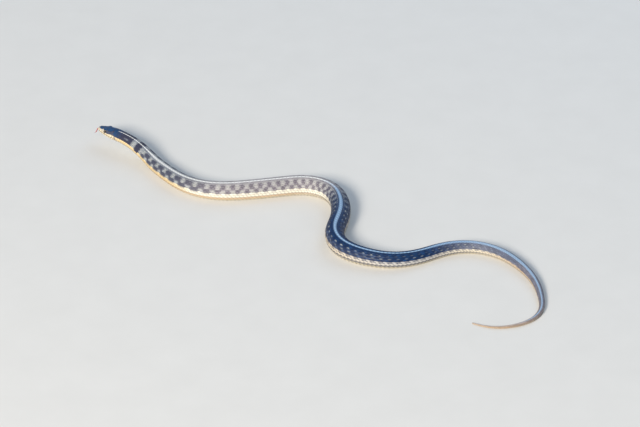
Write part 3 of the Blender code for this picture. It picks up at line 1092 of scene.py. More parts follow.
    def fleck(self, masks: dict[str, Array], row: int, number: Array, centre: Array,
              along: Array, across: Array) -> None:
        """Change the masks, in place, by what each scale carries itself.

        At mid-body each scale between the spots has a dark middle and pale sides, which gives a fine
        net. Behind the second bend every other scale of the sixth and seventh rows has a small pale
        fleck. Every scale of the lowest row has a dark mark at its upper front, and those of the next
        two rows a darker middle of their lower edge.

        Args:
            masks: masks of the row's points.
            row: number of the row.
            number: the scales' numbers in it.
            centre: distances of their centres.
            along: places along the scales.
            across: places across them.
        """
        aside = np.abs(across)
        hind = ramp(centre, 250 * MM, 300 * MM) * (1 - ramp(centre, 430 * MM, 480 * MM))
        chosen = 0.9 * ((number + (row > 6)) % 2 == 0) * (row in (6, 7))
        uneven = 0.70 + 0.30 * np.cos(number * 2.4 + row)
        mark = bump(across, 0.5 if row > 6 else -0.5, 0.8) * bump(along, 0.66, 0.34)
        fore = 1 - ramp(centre, 115 * MM, 140 * MM)
        lively = 0.06 + 0.94 * bump(aside, 0.88, 0.52 + 0.3 * fore) * ramp(along, 0.30, 0.55)
        gaps = masks["pale"]
        netted = ramp(centre, 105 * MM, 140 * MM) * (1 - ramp(centre, 232 * MM, 268 * MM))
        core = bump(aside, 0.0, 0.75) * bump(along, 0.66, 0.38)
        pale = gaps * lively * (1 - hind) + hind * chosen * uneven * mark
        masks["pale"] = np.maximum(pale, 0.62 * gaps * netted * (1 - core))
        masks["spot"] = masks["spot"] * (1 - 0.60 * core * netted) + 0.62 * core * gaps * netted
        behind = ramp(centre, 170 * MM, 290 * MM) * (1 - 0.7 * ramp(centre, 430 * MM, 480 * MM))
        if row == 1:
            dark = bump(along, 0.58, 0.36) * ramp(across, -0.6, 0.3)
            masks["spot"] = np.maximum(masks["spot"], dark * (0.25 + 0.75 * behind))
            masks["belly"] = masks["belly"] * (1 - 0.40 * behind)
        if row in (2, 3):
            dark = bump(along, 0.50, 0.22) * ramp(-across, -0.2, 0.5)
            masks["flank"] = masks["flank"] * (1 - dark * (0.45 + 0.45 * behind))


# The lengths of the scaled body that become one piece each, and their strips in the bake map.
STRETCHES = {
    "neck_scales": Unroll(12 * MM, 100 * MM, 2),
    "fore_trunk_scales": Unroll(100 * MM, 235 * MM, 2),
    "hind_trunk_scales": Unroll(235 * MM, 370 * MM, 2),
    "vent_scales": Unroll(370 * MM, 480 * MM, 2),
    "tail_scales": Unroll(480 * MM, 626 * MM, 3),
}


@dataclass
class BellyPlates(Coat):
    """The wide plates under the body, one for each scale of the lowest rows, and the vent's plate."""

    overlap: float = 1.5
    sweep: float = 0.18
    tuck: float = 0.020
    depth: float = 0.46 * MM
    front_depth: float = 0.33 * MM
    rise: float = 0.31 * MM
    end_drop: float = 0.08 * MM
    rear_drop: float = 0.05 * MM
    columns: int = 25
    under_line: int = 2
    along: Array = field(default_factory=lambda: np.array([0.0, 0.4, 0.7, 0.9, 1.0]))

    def faces(self, count: int) -> list[Array]:
        """Faces of every plate: its grid on top, and walls down to one line of points under it."""
        down = len(self.along)
        wide = self.columns
        base = down * wide
        line = np.arange(wide - 1)
        last = (down - 1) * wide
        rows = np.arange(down - 1) * wide
        four = np.concatenate([
            grid_faces(down, wide),
            np.stack([line + 1, base + line + 1, base + line, line], axis=1),
            np.stack([base + line, base + line + 1, last + line + 1, last + line], axis=1),
        ])
        right = np.stack([np.full(down - 1, base), rows + wide, rows], axis=1)
        left = np.stack([rows + 2 * wide - 1, np.full(down - 1, base + wide - 1), rows + wide - 1], axis=1)
        return repeated(flipped([four, np.concatenate([right, left])]), count, base + wide)

    def build(self, material: bpy.types.Material) -> bpy.types.Object:
        """Build all plates as one piece.

        Each plate is a strip across the belly from flank to flank. It rises from its tucked front to
        its free rear, its ends sweep forwards, and its edges round down.
        """
        counted = self.lattice.count + 0.5
        ends = np.interp((THROAT_END, VENT + 1.2 * MM), self.lattice.distance, counted)
        numbers = np.arange(math.ceil(ends[0]), math.floor(ends[1]) + 1)
        centre = np.interp(numbers, counted, self.lattice.distance)[:, None, None]
        pitch = self.lattice.pitch(centre)
        along, across = place_grid(self.along, np.linspace(-1, 1, self.columns), len(centre))
        aside = np.abs(across)
        at = centre + (along - 0.5) * (pitch * self.overlap) - self.sweep * pitch * aside ** 3
        share = across * (self.lattice.belly_share(at) + self.tuck)
        turn = self.form.turn_of_share(at, share)
        lift = self.rise * along ** 0.8 - self.front_depth - self.end_drop * aside ** 10
        lift = lift - self.rear_drop * ramp(along, 0.85, 1.0)
        top = self.form.place(at, turn, lift * self.lattice.coat_size(centre))
        under = [values[:, self.under_line:self.under_line + 1] for values in (at, turn)]
        under = self.form.place(*under, np.full(under[0].shape, -self.depth))
        masks = self.markings.masks(at, np.abs(share), np.sign(across))
        masks["edge"] = ramp(along, 0.75, 1.0) * 0.8
        chance = np.random.default_rng(SEED + 3).random(centre.shape)
        masks["chance"] = np.broadcast_to(chance, at.shape)
        masks["spot"] = 0.75 * (ramp(aside, 0.80, 0.93) * bump(along, 0.45, 0.3)
                                * ramp(at, 60 * MM, 160 * MM))
        unroll = Unroll(20 * MM, VENT + 10 * MM, 3, fill=0.92)
        strip, within = unroll.cells(centre, pitch, along)
        high = (strip + 0.5 + across * 0.485) / unroll.strips
        where = np.stack([0.01 + 0.98 * within, high], axis=-1)
        surface = Surface()
        surface.add(self.listed(top, under), self.faces(len(centre)),
                    {name: self.listed(value) for name, value in masks.items()}, self.listed(where),
                    self.listed(np.stack([across, along], axis=-1)))
        return surface.make("belly_plates", material, 60.0)

    def listed(self, values: Array, under: Array | None = None) -> Array:
        """A plate's values as one list, with those of the line under it last, by default of its own."""
        under = values[:, self.under_line:self.under_line + 1] if under is None else under
        values = np.concatenate([values, under], axis=1)
        return values.reshape(len(values), -1, *values.shape[3:])


@dataclass
class Skin(Coat):
    """One closed skin from snout to tail tip, a little inside the form, with the mouth's crease."""

    columns: int = 24
    head_rows: int = 150
    head_end: float = 34 * MM
    row_step: float = 0.9 * MM
    crease: float = 0.55 * MM

    def build(self, material: bpy.types.Material) -> bpy.types.Object:
        """Build the skin.

        Rings of points run round the body at every row. Each has a column on the upper lip's edge, one
        drawn inwards at the crease and one on the lower lip's edge; behind the mouth's corner the three
        spread out over the flank. A fan closes each end.
        """
        tip = TOTAL_LENGTH - TIP_ROUNDING * (1 - np.sin(np.linspace(0, 1.45, 6)))
        rows = np.concatenate([
            np.linspace(0.06 * MM, self.head_end, self.head_rows),
            np.arange(self.head_end + self.row_step, TOTAL_LENGTH - 1.7 * MM, self.row_step),
            tip,
        ])
        shut = ramp(rows, MOUTH_CORNER, MOUTH_CORNER + 3 * MM)[:, None]
        up = np.linspace(0, 0.975, self.columns)[None] + 0 * shut
        under = np.linspace(1.025, 2, self.columns)[None] + 0 * shut
        side = np.concatenate([up, 1 - 0.012 * shut, 1 + 0 * shut, 1.00001 + 0.012 * shut, under], axis=1)
        turn = np.concatenate([-side[:, :0:-1], side[:, :-1]], axis=1)
        row = np.broadcast_to(rows[:, None], turn.shape)
        points = self.form.place(row, turn, -self.lattice.skin_depth(row))
        self.fold_lips(points, rows, shut, turn.shape[1])
        size = np.abs(turn)
        share = self.form.share_of_turn(row, turn)
        masks = self.markings.masks(row, share, np.where(turn < 0, -1, 1))
        masks["edge"] = np.full(turn.shape, 0.55)
        masks["chance"] = np.full(turn.shape, 0.5)
        head_skin(masks, row, size)
        unroll = Unroll(0.0, TOTAL_LENGTH, 1)
        where = unroll.place(row, turn)
        place = np.stack([turn, row / (3 * MM)], axis=-1)
        down, around = turn.shape
        flat = {name: np.concatenate([np.ravel(value), [np.ravel(value)[0], np.ravel(value)[-1]]])
                for name, value in masks.items()}
        middle = around // 2
        ends = [where[0, middle], where[-1, middle]]
        surface = Surface()
        surface.add(
            np.concatenate([points.reshape(-1, 3), points[0].mean(axis=0)[None],
                            points[-1].mean(axis=0)[None]]),
            tube_faces(down, around), flat,
            np.concatenate([where.reshape(-1, 2), ends]),
            np.concatenate([place.reshape(-1, 2), [place[0, middle], place[-1, middle]]]),
            closed=True,
        )
        return surface.make("skin", material)

    def fold_lips(self, points: Array, rows: Array, shut: Array, around: int) -> None:
        """Draw the mouth line's columns inwards between the lips.

        Args:
            points: the skin's points, changed in place.
            rows: row coordinates of the rings.
            shut: how far the mouth is shut at each row.
            around: number of points in a ring.
        """
        fold = self.columns + 1
        for column in (around // 2 + fold, around // 2 - fold):
            middle = (points[:, column - 1] + points[:, column + 1]) / 2
            axis = self.form.spine.frame(np.maximum(rows, 3 * MM))[0]
            inward = axis - middle
            inward[:, 2] *= 0.2
            near_tip = np.clip(rows / (1.6 * MM), 0.05, 1)[:, None]
            folded = middle + unit(inward) * self.crease * (1 - shut) * near_tip
            points[:, column] = folded * (1 - shut) + points[:, column] * shut


def head_skin(masks: dict[str, Array], row: Array, size: Array) -> None:
    """Darken the skin that shows between the head plates, apart from the chin's.

    Args:
        masks: masks of the skin, changed in place.
        row: row coordinates.
        size: turns without their sign.
    """
    front = 1 - ramp(row, 19 * MM, 24 * MM)
    above = 1 - ramp(size, 1.05, 1.25)
    masks["spot"] = np.maximum(masks["spot"] * (1 - front), front * above * 0.85)
    masks["belly"] = masks["belly"] * (1 - front) + front * (1 - above)
    masks["flank"] = masks["flank"] * (1 - front)
    masks["crown"] = masks["crown"] * (1 - 0.85 * front)
    masks["blush"] = masks["blush"] * (1 - front)


class Kind(Enum):
    """What a head plate looks like."""

    CAP = "dark plate of the crown"
    TEMPLE = "grey plate behind the eye"
    SNOUT = "pale plate beside the snout"
    LIP = "cream plate of a lip, dark along its rear edge"
    CHIN = "plain cream plate under the jaw"


# The slate and crown shares paint blue sky reflection on the dark plates: fully on the cap, weakly on the
# temples.
KIND_MASKS = {
    Kind.CAP: {"spot": 1.0, "slate": 0.9, "crown": 1.0},
    Kind.TEMPLE: {"spot": 0.85, "slate": 0.2, "brown": 0.2, "crown": 0.25},
    Kind.SNOUT: {"belly": 0.72, "brown": 0.6, "flank": 0.1},
    Kind.LIP: {"belly": 1.0, "flank": 0.35},
    Kind.CHIN: {"belly": 1.0},
}


class Zone(Enum):
    """How a plate's corner is measured, its second number in millimetres over the surface."""

    CROWN = "from the middle of the crown"
    LIP = "up from the upper lip's edge"
    EYE = "angle round the eye's opening, 90 up and 180 forwards"
    JAW = "down from the lower lip's edge"
    THROAT = "from the middle of the chin"


# Where the seams between the lip plates meet the lips' edges, from the front, in millimetres behind the
# snout, and the outer corners of the lower lip's plates with their depth below the edge.
LIP_SEAMS = (3.20, 6.80, 10.20, 13.10, 16.30, 19.30, 21.70)
JAW_SEAMS = (1.80, 3.20, 4.70, 6.40, 8.40, 10.90, 13.60, 16.00, 18.10, 20.00, 21.70)
UNDER_CORNERS = (
    (4.60, 2.25), (6.30, 2.40), (8.30, 2.65), (10.80, 2.50), (13.60, 2.20), (16.10, 1.90), (18.10, 1.65),
    (20.00, 1.40), (21.50, 1.00),
)
EYE_CORNERS = (14, 40, 65, 90, 115, 140, 165, 190, 215, 245, 270, 297, 322, 347)

# Corners of the plates by how they are measured: millimetres behind the snout, and the length over. A
# corner at the eye has its angle instead.
CORNERS: dict[Zone, dict[str, tuple[float, float]]] = {
    Zone.CROWN: {
        "snout_top": (1.35, 0.0), "nose_inner": (1.20, 1.10), "nostril_top": (2.00, 1.50),
        "nasal_rear": (3.30, 1.85), "inner_meet": (3.70, 0.0), "loreal_top": (3.90, 2.60),
        "preocular_top": (6.70, 3.45), "brow_front": (7.40, 2.50), "frontal_corner": (6.90, 1.35),
        "frontal_front": (6.70, 0.0), "frontal_hip": (11.40, 1.00), "frontal_tip": (12.70, 0.0),
        "brow_rear": (12.90, 3.20), "postocular_1": (13.60, 4.35), "postocular_2": (13.80, 5.50),
        "temporal_top": (16.90, 4.10), "temporal_middle": (17.10, 5.40), "temple_1": (19.60, 3.60),
        "temple_2": (19.90, 5.20), "parietal_side": (18.40, 2.40), "parietal_rear": (18.80, 0.90),
        "parietal_notch": (18.00, 0.0),
    },
    Zone.LIP: {
        "nose_outer": (0.95, 0.80), "nose_lip": (0.75, 0.0), "nostril_foot": (2.00, 1.30),
        "loreal_foot": (3.90, 1.50), "lip_top_1": (3.30, 1.42), "preocular_foot": (6.70, 1.55),
        "cheek_front": (8.10, 1.28), "postocular_3": (13.30, 1.50), "temporal_foot": (16.40, 2.40),
        "temple_3": (20.20, 2.55), "lip_top_6": (19.30, 2.40), "lip_top_7": (21.50, 1.50),
        **{f"lip_{number}": (at, 0.0) for number, at in enumerate(LIP_SEAMS, 1)},
    },
    Zone.EYE: {f"eye_{angle}": (angle, 0.0) for angle in EYE_CORNERS},
    Zone.JAW: {
        **{f"jaw_{number}": (at, 0.0) for number, at in enumerate(JAW_SEAMS)},
        **{f"under_{number}": corner for number, corner in enumerate(UNDER_CORNERS, 2)},
    },
    Zone.THROAT: {
        "mental_side": (2.05, 1.55), "mental_tip": (2.50, 0.0), "first_meet": (3.70, 0.0),
        "under_1": (3.75, 0.95), "shield_meet": (8.60, 0.0), "shield_side": (8.30, 2.20),
        "rear_side": (11.00, 2.30), "rear_corner": (13.80, 1.60), "rear_tip": (13.70, 0.55),
        "rear_meet": (12.60, 0.0), "throat_1": (13.40, 3.00), "throat_2": (16.20, 3.95),
        "throat_3": (16.30, 2.20), "throat_4": (16.50, 0.0),
    },
}

# The plates of each kind, with their corners in order. A leading minus is the corner on the right side.
PLATES: dict[Kind, dict[str, str]] = {
    Kind.CAP: {
        "internasal": "snout_top nose_inner nostril_top nasal_rear inner_meet",
        "prefrontal": "inner_meet nasal_rear loreal_top preocular_top brow_front frontal_corner "
                      "frontal_front",
        "frontal": "frontal_front frontal_corner frontal_hip frontal_tip -frontal_hip -frontal_corner",
        "supraocular": "frontal_corner brow_front eye_140 eye_115 eye_90 eye_65 eye_40 brow_rear "
                       "frontal_hip",
        "parietal": "frontal_tip frontal_hip brow_rear postocular_1 temporal_top parietal_side "
                    "parietal_rear parietal_notch",
    },
    Kind.SNOUT: {
        "front_nasal": "nose_inner nose_outer nostril_foot nostril_top",
        "rear_nasal": "nostril_top nostril_foot lip_top_1 loreal_foot loreal_top nasal_rear",
        "loreal": "loreal_top loreal_foot preocular_foot preocular_top",
        "preocular": "brow_front preocular_top preocular_foot cheek_front eye_215 eye_190 eye_165 eye_140",
    },
    Kind.TEMPLE: {
        "postocular_upper": "eye_40 eye_14 postocular_1 brow_rear",
        "postocular_middle": "eye_14 eye_347 postocular_2 postocular_1",
        "postocular_lower": "eye_347 eye_322 postocular_3 postocular_2",
        "temporal_front": "postocular_1 postocular_2 postocular_3 temporal_foot temporal_middle "
                          "temporal_top",
        "temporal_upper": "temporal_top temporal_middle temple_2 temple_1 parietal_side",
        "temporal_lower": "temporal_middle temporal_foot lip_top_6 temple_3 temple_2",
    },
    Kind.LIP: {
        "lip_plate_1": "nose_lip nose_outer nostril_foot lip_top_1 lip_1",
        "lip_plate_2": "lip_1 lip_top_1 loreal_foot preocular_foot lip_2",
        "lip_plate_3": "lip_2 preocular_foot cheek_front eye_215 eye_245 eye_270 lip_3",
        "lip_plate_4": "lip_3 eye_270 eye_297 eye_322 postocular_3 lip_4",
        "lip_plate_5": "lip_4 postocular_3 temporal_foot lip_5",
        "lip_plate_6": "lip_5 temporal_foot lip_top_6 lip_6",
        "lip_plate_7": "lip_6 lip_top_6 lip_top_7 lip_7",
        "jaw_plate_1": "jaw_0 mental_side mental_tip first_meet under_1 jaw_1",
        **{f"jaw_plate_{number}": f"jaw_{number - 1} under_{number - 1} under_{number} jaw_{number}"
           for number in range(2, 11)},
    },
    Kind.CHIN: {
        "front_shield": "first_meet under_1 under_2 under_3 shield_side shield_meet",
        "rear_shield": "shield_meet shield_side rear_side rear_corner rear_tip rear_meet",
        "throat_plate_1": "under_3 under_4 under_5 rear_side shield_side",
        "throat_plate_2": "rear_side under_5 under_6 throat_1",
        "throat_plate_3": "rear_side throat_1 rear_corner",
        "throat_plate_4": "throat_1 under_6 under_7 throat_2",
        "throat_plate_5": "rear_corner throat_1 throat_2 throat_3",
        "throat_plate_6": "rear_meet rear_tip rear_corner throat_3 throat_4",
    },
}
SINGLE_PLATES = ("frontal",)


@dataclass
class HeadPlates:
    """The plates of the head: flat shields with fine grooves between them, laid over the form."""

    form: Form
    corners: int = 36
    gap: float = 0.055 * MM
    base: float = 0.30 * MM
    sink: float = 0.01 * MM
    dome: float = 0.035 * MM
    rim_drop: float = 0.085 * MM
    rings: Array = field(default_factory=lambda: np.array([0.30, 0.60, 0.82, 0.93, 1.0]))
    cells: int = 9
    eye_across: float = field(init=False)

    def __post_init__(self) -> None:
        """Find how far over the crown the eye's middle lies."""
        row = self.form.row_at(EYE_BACK)
        turns = np.linspace(0.3, 1.0, 200)
        local = self.form.both("local", np.full(200, row), turns)
        turn = np.interp(-EYE_UP, -local[:, 2], turns)
        self.eye_across = turn * self.form.quarter(row)

    def corner(self, name: str) -> tuple[bool, float, float]:
        """One corner as upper or lower half, its row, and its length over from the half's middle."""
        side = -1.0 if name.startswith("-") else 1.0
        name = name.lstrip("-")
        zone = next(zone for zone, corners in CORNERS.items() if name in corners)
        first, second = CORNERS[zone][name]
        if zone is Zone.EYE:
            angle = math.radians(first)
            over = self.eye_across - EYE_OPENING[1] * math.sin(angle)
            return True, float(self.form.row_at(EYE_BACK + EYE_OPENING[0] * math.cos(angle))), side * over
        upper = zone in (Zone.CROWN, Zone.LIP)
        row = float(self.form.row_at(first * MM, upper))
        over = second * MM
        if zone in (Zone.LIP, Zone.JAW):
            over = float(self.form.quarter(row, upper)) - over
        return upper, row, side * over

    def outline(self, names: list[str]) -> tuple[bool, Array]:
        """A plate's edge as evenly spaced points, corners eased and drawn in by half the groove.

        Args:
            names: names of the corners in order.

        Returns:
            True for the upper half, and points of row and length over.
        """
        found = [self.corner(name) for name in names]
        edge = even_ring(np.array([(row, over) for _upper, row, over in found]), self.corners)
        edge = (np.roll(edge, 1, axis=0) + 4 * edge + np.roll(edge, -1, axis=0)) / 6
        ahead = np.roll(edge, -1, axis=0) - np.roll(edge, 1, axis=0)
        inward = unit(np.stack([-ahead[:, 1], ahead[:, 0]], axis=1))
        centre = edge.mean(axis=0)
        facing = np.sign(((centre - edge) * inward).sum())
        edge = edge + facing * inward * self.gap
        return found[0][0], edge

    def discs(self, edge: Array) -> tuple[Array, Array]:
        """Rings of points from a middle point out to the edge, and each point's place between them."""
        centre = edge.mean(axis=0)
        part = np.repeat(self.rings, self.corners)
        points = centre + part[:, None] * (np.tile(edge, (len(self.rings), 1)) - centre)
        return np.concatenate([centre[None], points, edge, centre[None]]), np.concatenate(
            [[0.0], part, np.full(self.corners, 1.05), [1.1]]
        )

    def disc_faces(self, flip: bool) -> list[Array]:
        """Faces of a plate: a fan, bands of quads out over the rim, and a fan that closes it below."""
        count = self.corners
        bands = len(self.rings)
        line = np.arange(count)
        after = np.roll(line, -1)
        fan = np.stack([np.zeros(count, dtype=int), 1 + line, 1 + after], axis=1)
        start = (1 + np.arange(bands) * count)[:, None]
        quads = np.stack([start + line, start + count + line, start + count + after, start + after], axis=-1)
        last = 1 + bands * count
        under = np.stack([np.full(count, last + count), last + after, last + line], axis=1)
        order = slice(None, None, -1) if flip else slice(None)
        return [fan[:, order], quads.reshape(-1, 4)[:, order], under[:, order]]

    def lift(self, part: Array) -> Array:
        """Height over the form: a shallow dome that rolls down at the rim, then the hidden skirt."""
        top = -self.sink - self.dome * part ** 2 - self.rim_drop * np.clip(part, 0, 1) ** 12
        return np.where(part > 1.0, -self.base, top)

    def edge_mask(self, kind: Kind, part: Array, place: Array) -> Array:
        """Find how dark a plate's rim is: strongly at a lip plate's rear edge, slightly on the others.

        Args:
            kind: the plate's look.
            part: each point's place between the middle, 0, and the rim, 1.
            place: the points' places across and along the plate.

        Returns:
            The mask, from 0 to 1.
        """
        rim = ramp(part, 0.70, 1.0)
        if kind is Kind.LIP:
            return rim * (0.15 + 0.85 * ramp(place[:, 0], 0.35, 0.9))
        return rim * (0.25 if kind is Kind.CHIN else 0.5)

    def turn_over(self, row: Array, over: Array, upper: bool) -> tuple[Array, Array]:
        """Row, and the turn that lies a length over from the middle of the crown or the chin."""
        return row, self.on_half(over / self.form.quarter(row, upper), upper)

    def from_pole(self, out: Array, sideways: Array, upper: bool) -> tuple[Array, Array]:
        """Row and turn of a point of the flattened tip of a lip."""
        turn = np.clip(np.arctan2(sideways, np.maximum(out, 1e-9)) / (math.pi / 2), -1, 1)
        return np.hypot(sideways, out), self.on_half(turn, upper)

    def on_half(self, turn: Array, upper: bool) -> Array:
        """A turn counted from the middle of the crown as it is, or one from the chin as a whole turn."""
        return turn if upper else np.sign(turn + 1e-12) * (2 - np.abs(turn))

    def build(self, material: bpy.types.Material) -> bpy.types.Object:
        """Build every plate on both sides, and the two single plates at the tips of the lips.

        Each plate is drawn flat, as rings of points from its middle out to its edge, and then laid on
        the form. The sign of its flat area tells which way its faces turn there.
        """
        wanted = [(*self.outline(corners.split()), self.turn_over, side, kind)
                  for kind, plates in PLATES.items() for name, corners in plates.items()
                  for side in ((1,) if name in SINGLE_PLATES else (1, -1))]
        for upper, kind in ((True, Kind.SNOUT), (False, Kind.CHIN)):
            wanted.append((upper, self.tip_edge(upper), self.from_pole, 1, kind))
        chances = np.random.default_rng(SEED + 11).random(len(wanted))
        surface = Surface()
        for number, (upper, edge, to_form, side, kind) in enumerate(wanted):
            points, part = self.discs(edge)
            row, turn = to_form(*points.T, upper)
            placed = self.form.place(row, turn * side, self.lift(part))
            area = np.sum(edge[:, 0] * np.roll(edge[:, 1], -1) - np.roll(edge[:, 0], -1) * edge[:, 1])
            flip = (area > 0) == ((side > 0) == upper)
            place = (points - points[0]) / np.abs(points - points[0]).max(axis=0)
            masks = {**KIND_MASKS[kind], "chance": chances[number], "edge": self.edge_mask(kind, part, place)}
            cell = np.array([number % self.cells, number // self.cells])
            where = (cell + 0.5 + 0.46 * place / np.maximum(part, 1.0)[:, None]) / self.cells
            surface.add(placed, self.disc_faces(flip), masks, where, place)
        return surface.make("head_plates", material, 50.0)

    def tip_edge(self, upper: bool) -> Array:
        """The edge of the plate at the tip of the upper or lower lip, flattened round the tip.

        Its distance from the tip is that of the lip corner at the sides and of the middle corner above,
        with the shoulder corners between them.
        """
        names = ("nose_lip", "nose_outer", "nose_inner", "snout_top") if upper else (
            "jaw_0", "mental_side", "mental_tip")
        found = [self.corner(name) for name in names]
        rows = np.array([row for _upper, row, _over in found])
        turns = np.array([over / float(self.form.quarter(row, upper)) for _upper, row, over in found])
        rows = np.concatenate([rows, rows[-2::-1]])
        turns = np.concatenate([turns, -turns[-2::-1]]) * math.pi / 2
        ring = np.stack([rows * np.cos(turns), rows * np.sin(turns)], axis=1)
        edge = even_ring(np.concatenate([ring, [[0.02 * MM, 0.0]]]), self.corners)
        centre = edge.mean(axis=0)
        reach = np.linalg.norm(edge - centre, axis=1, keepdims=True)
        return centre + (edge - centre) * (1 - self.gap / reach)


@dataclass
class Eye:
    """One eye: a flattened glossy ball with a round pupil, set in its socket."""

    form: Form
    side: int
    radii: tuple[float, float, float] = (1.22 * MM, 1.80 * MM, 1.68 * MM)
    rings: int = 22
    sides: int = 40
    forward_turn: float = 12.0

    def build(self, material: bpy.types.Material) -> bpy.types.Object:
        """Build the ball.

        A point at a polar angle from the outward axis and a turn round it lies at the radii times the
        sphere's coordinates. The axis looks a little forwards.
        """
        point, left, up = (vector[0] for vector in self.form.spine.frame(np.array([EYE_BACK])))
        back = np.cross(up, left)
        lean = math.radians(self.forward_turn)
        outward = self.side * left * math.cos(lean) - back * math.sin(lean)
        along = back * math.cos(lean) + self.side * left * math.sin(lean)
        reach = half_width(np.array([EYE_BACK]))[0] - EYE_INSET
        centre = point + self.side * reach * left + EYE_UP * up
        polar = np.linspace(0, math.pi, self.rings + 1)[1:-1]
        turn = np.linspace(0, 2 * math.pi, self.sides, endpoint=False)
        polar, turn = np.meshgrid(polar, turn, indexing="ij")
        ball = np.stack([np.cos(polar), np.sin(polar) * np.cos(turn), np.sin(polar) * np.sin(turn)], -1)
        ball = np.concatenate([ball.reshape(-1, 3), [[1, 0, 0], [-1, 0, 0]]])
        axes = np.stack([outward, along, up]) * np.array(self.radii)[:, None]
        points = centre + ball @ axes
        faces = tube_faces(self.rings - 1, self.sides)
        faces = flipped(faces) if self.side > 0 else faces
        place = ball[:, 1:]
        spread = np.arccos(np.clip(ball[:, 0], -1, 1)) / math.pi * 0.48
        where = 0.5 + unit(place) * spread[:, None]
        surface = Surface()
        surface.add(points, faces, {"spot": np.ones(len(points))}, where, place)
        return surface.make("left_eye" if self.side > 0 else "right_eye", material)


@dataclass
class Tongue:
    """The forked tongue, out and bent down: one stem that forks into two tapering tines."""

    form: Form
    root: float = 2.4 * MM
    reach: float = 2.4 * MM
    drop: float = 3.4 * MM
    half_width: float = 0.58 * MM
    half_thickness: float = 0.34 * MM
    tine_reach: float = 1.9 * MM
    tine_drop: float = 3.9 * MM
    tine_spread: float = 1.15 * MM
    tine_radius: float = 0.29 * MM
    sides: int = 14

    def tube(self, surface: Surface, line: Array, wide: Array, thick: Array, tip: Array) -> None:
        """Add a closed flat tube along a line: an ellipse across the line at each of its points.

        Args:
            surface: where the tube goes.
            line: points along the middle.
            wide: half width at each point.
            thick: half thickness at each point.
            tip: how black each point is, from 0 to 1.
        """
        along = unit(np.gradient(line, axis=0))
        across = unit(np.cross(along, (0.0, 0.0, 1.0)))
        normal = np.cross(across, along)
        turn = np.linspace(0, 2 * math.pi, self.sides, endpoint=False)
        groove = 1 - 0.22 * bump(turn, math.pi / 2, 0.7)
        rings = line[:, None] + across[:, None] * (wide[:, None] * np.cos(turn))[..., None]
        rings = rings + normal[:, None] * (thick[:, None] * np.sin(turn) * groove)[..., None]
        count = len(line)
        points = np.concatenate([rings.reshape(-1, 3), line[:1], line[-1:]])
        black = np.concatenate([np.repeat(tip, self.sides), tip[:1], tip[-1:]])
        part = np.repeat(np.linspace(0, 1, count), self.sides)
        round_part = np.tile(np.arange(self.sides) / self.sides, count)
        lane = surface.total / (count * self.sides + 2) / 3
        where = np.stack([0.02 + 0.96 * part, 0.02 + lane + 0.28 * round_part], axis=1)
        where = np.concatenate([where, where[:1], where[-1:]])
        surface.add(points, flipped(tube_faces(count, self.sides)), {"spot": black}, where, where)

    def build(self, material: bpy.types.Material) -> bpy.types.Object:
        """Build the stem, which bends down past the lips, and the two tines that curve apart."""
        point, left, up = (vector[0] for vector in self.form.spine.frame(np.array([0.0])))
        forward = np.cross(left, up)
        surface = Surface()
        reach = np.linspace(-self.root, self.reach, 26)
        drop = self.drop * np.clip(reach / self.reach, 0, 1) ** 1.7
        line = point + reach[:, None] * forward - drop[:, None] * up
        full = np.ones(len(reach))
        end = np.sqrt(1 - np.clip((reach - self.reach + 0.5 * MM) / (0.55 * MM), 0, 1) ** 2)
        blackness = 0.10 * ramp(reach, 0.8 * self.reach, self.reach)
        self.tube(surface, line, full * self.half_width * end, full * self.half_thickness * end, blackness)
        for side in (1, -1):
            share = np.linspace(-0.22, 1.0, 26)
            beyond = np.clip(share, 0, 1)
            ahead = self.reach + self.tine_reach * share
            fall = self.drop + self.tine_drop * share - 0.25 * self.tine_drop * beyond ** 2
            out = side * (0.20 * MM + (self.tine_spread - 0.20 * MM) * beyond ** 1.4)
            line = point + ahead[:, None] * forward - fall[:, None] * up + out[:, None] * left
            taper = 1 - 0.72 * beyond ** 1.3
            radius = self.tine_radius * taper * np.sqrt(1 - np.clip((share - 0.93) / 0.08, 0, 0.99) ** 2)
            self.tube(surface, line, radius, radius * 0.9, 0.10 + 0.70 * ramp(share, 0.45, 0.95))
        return surface.make("forked_tongue", material)


Colour = tuple[float, float, float]
Socket = bpy.types.NodeSocket


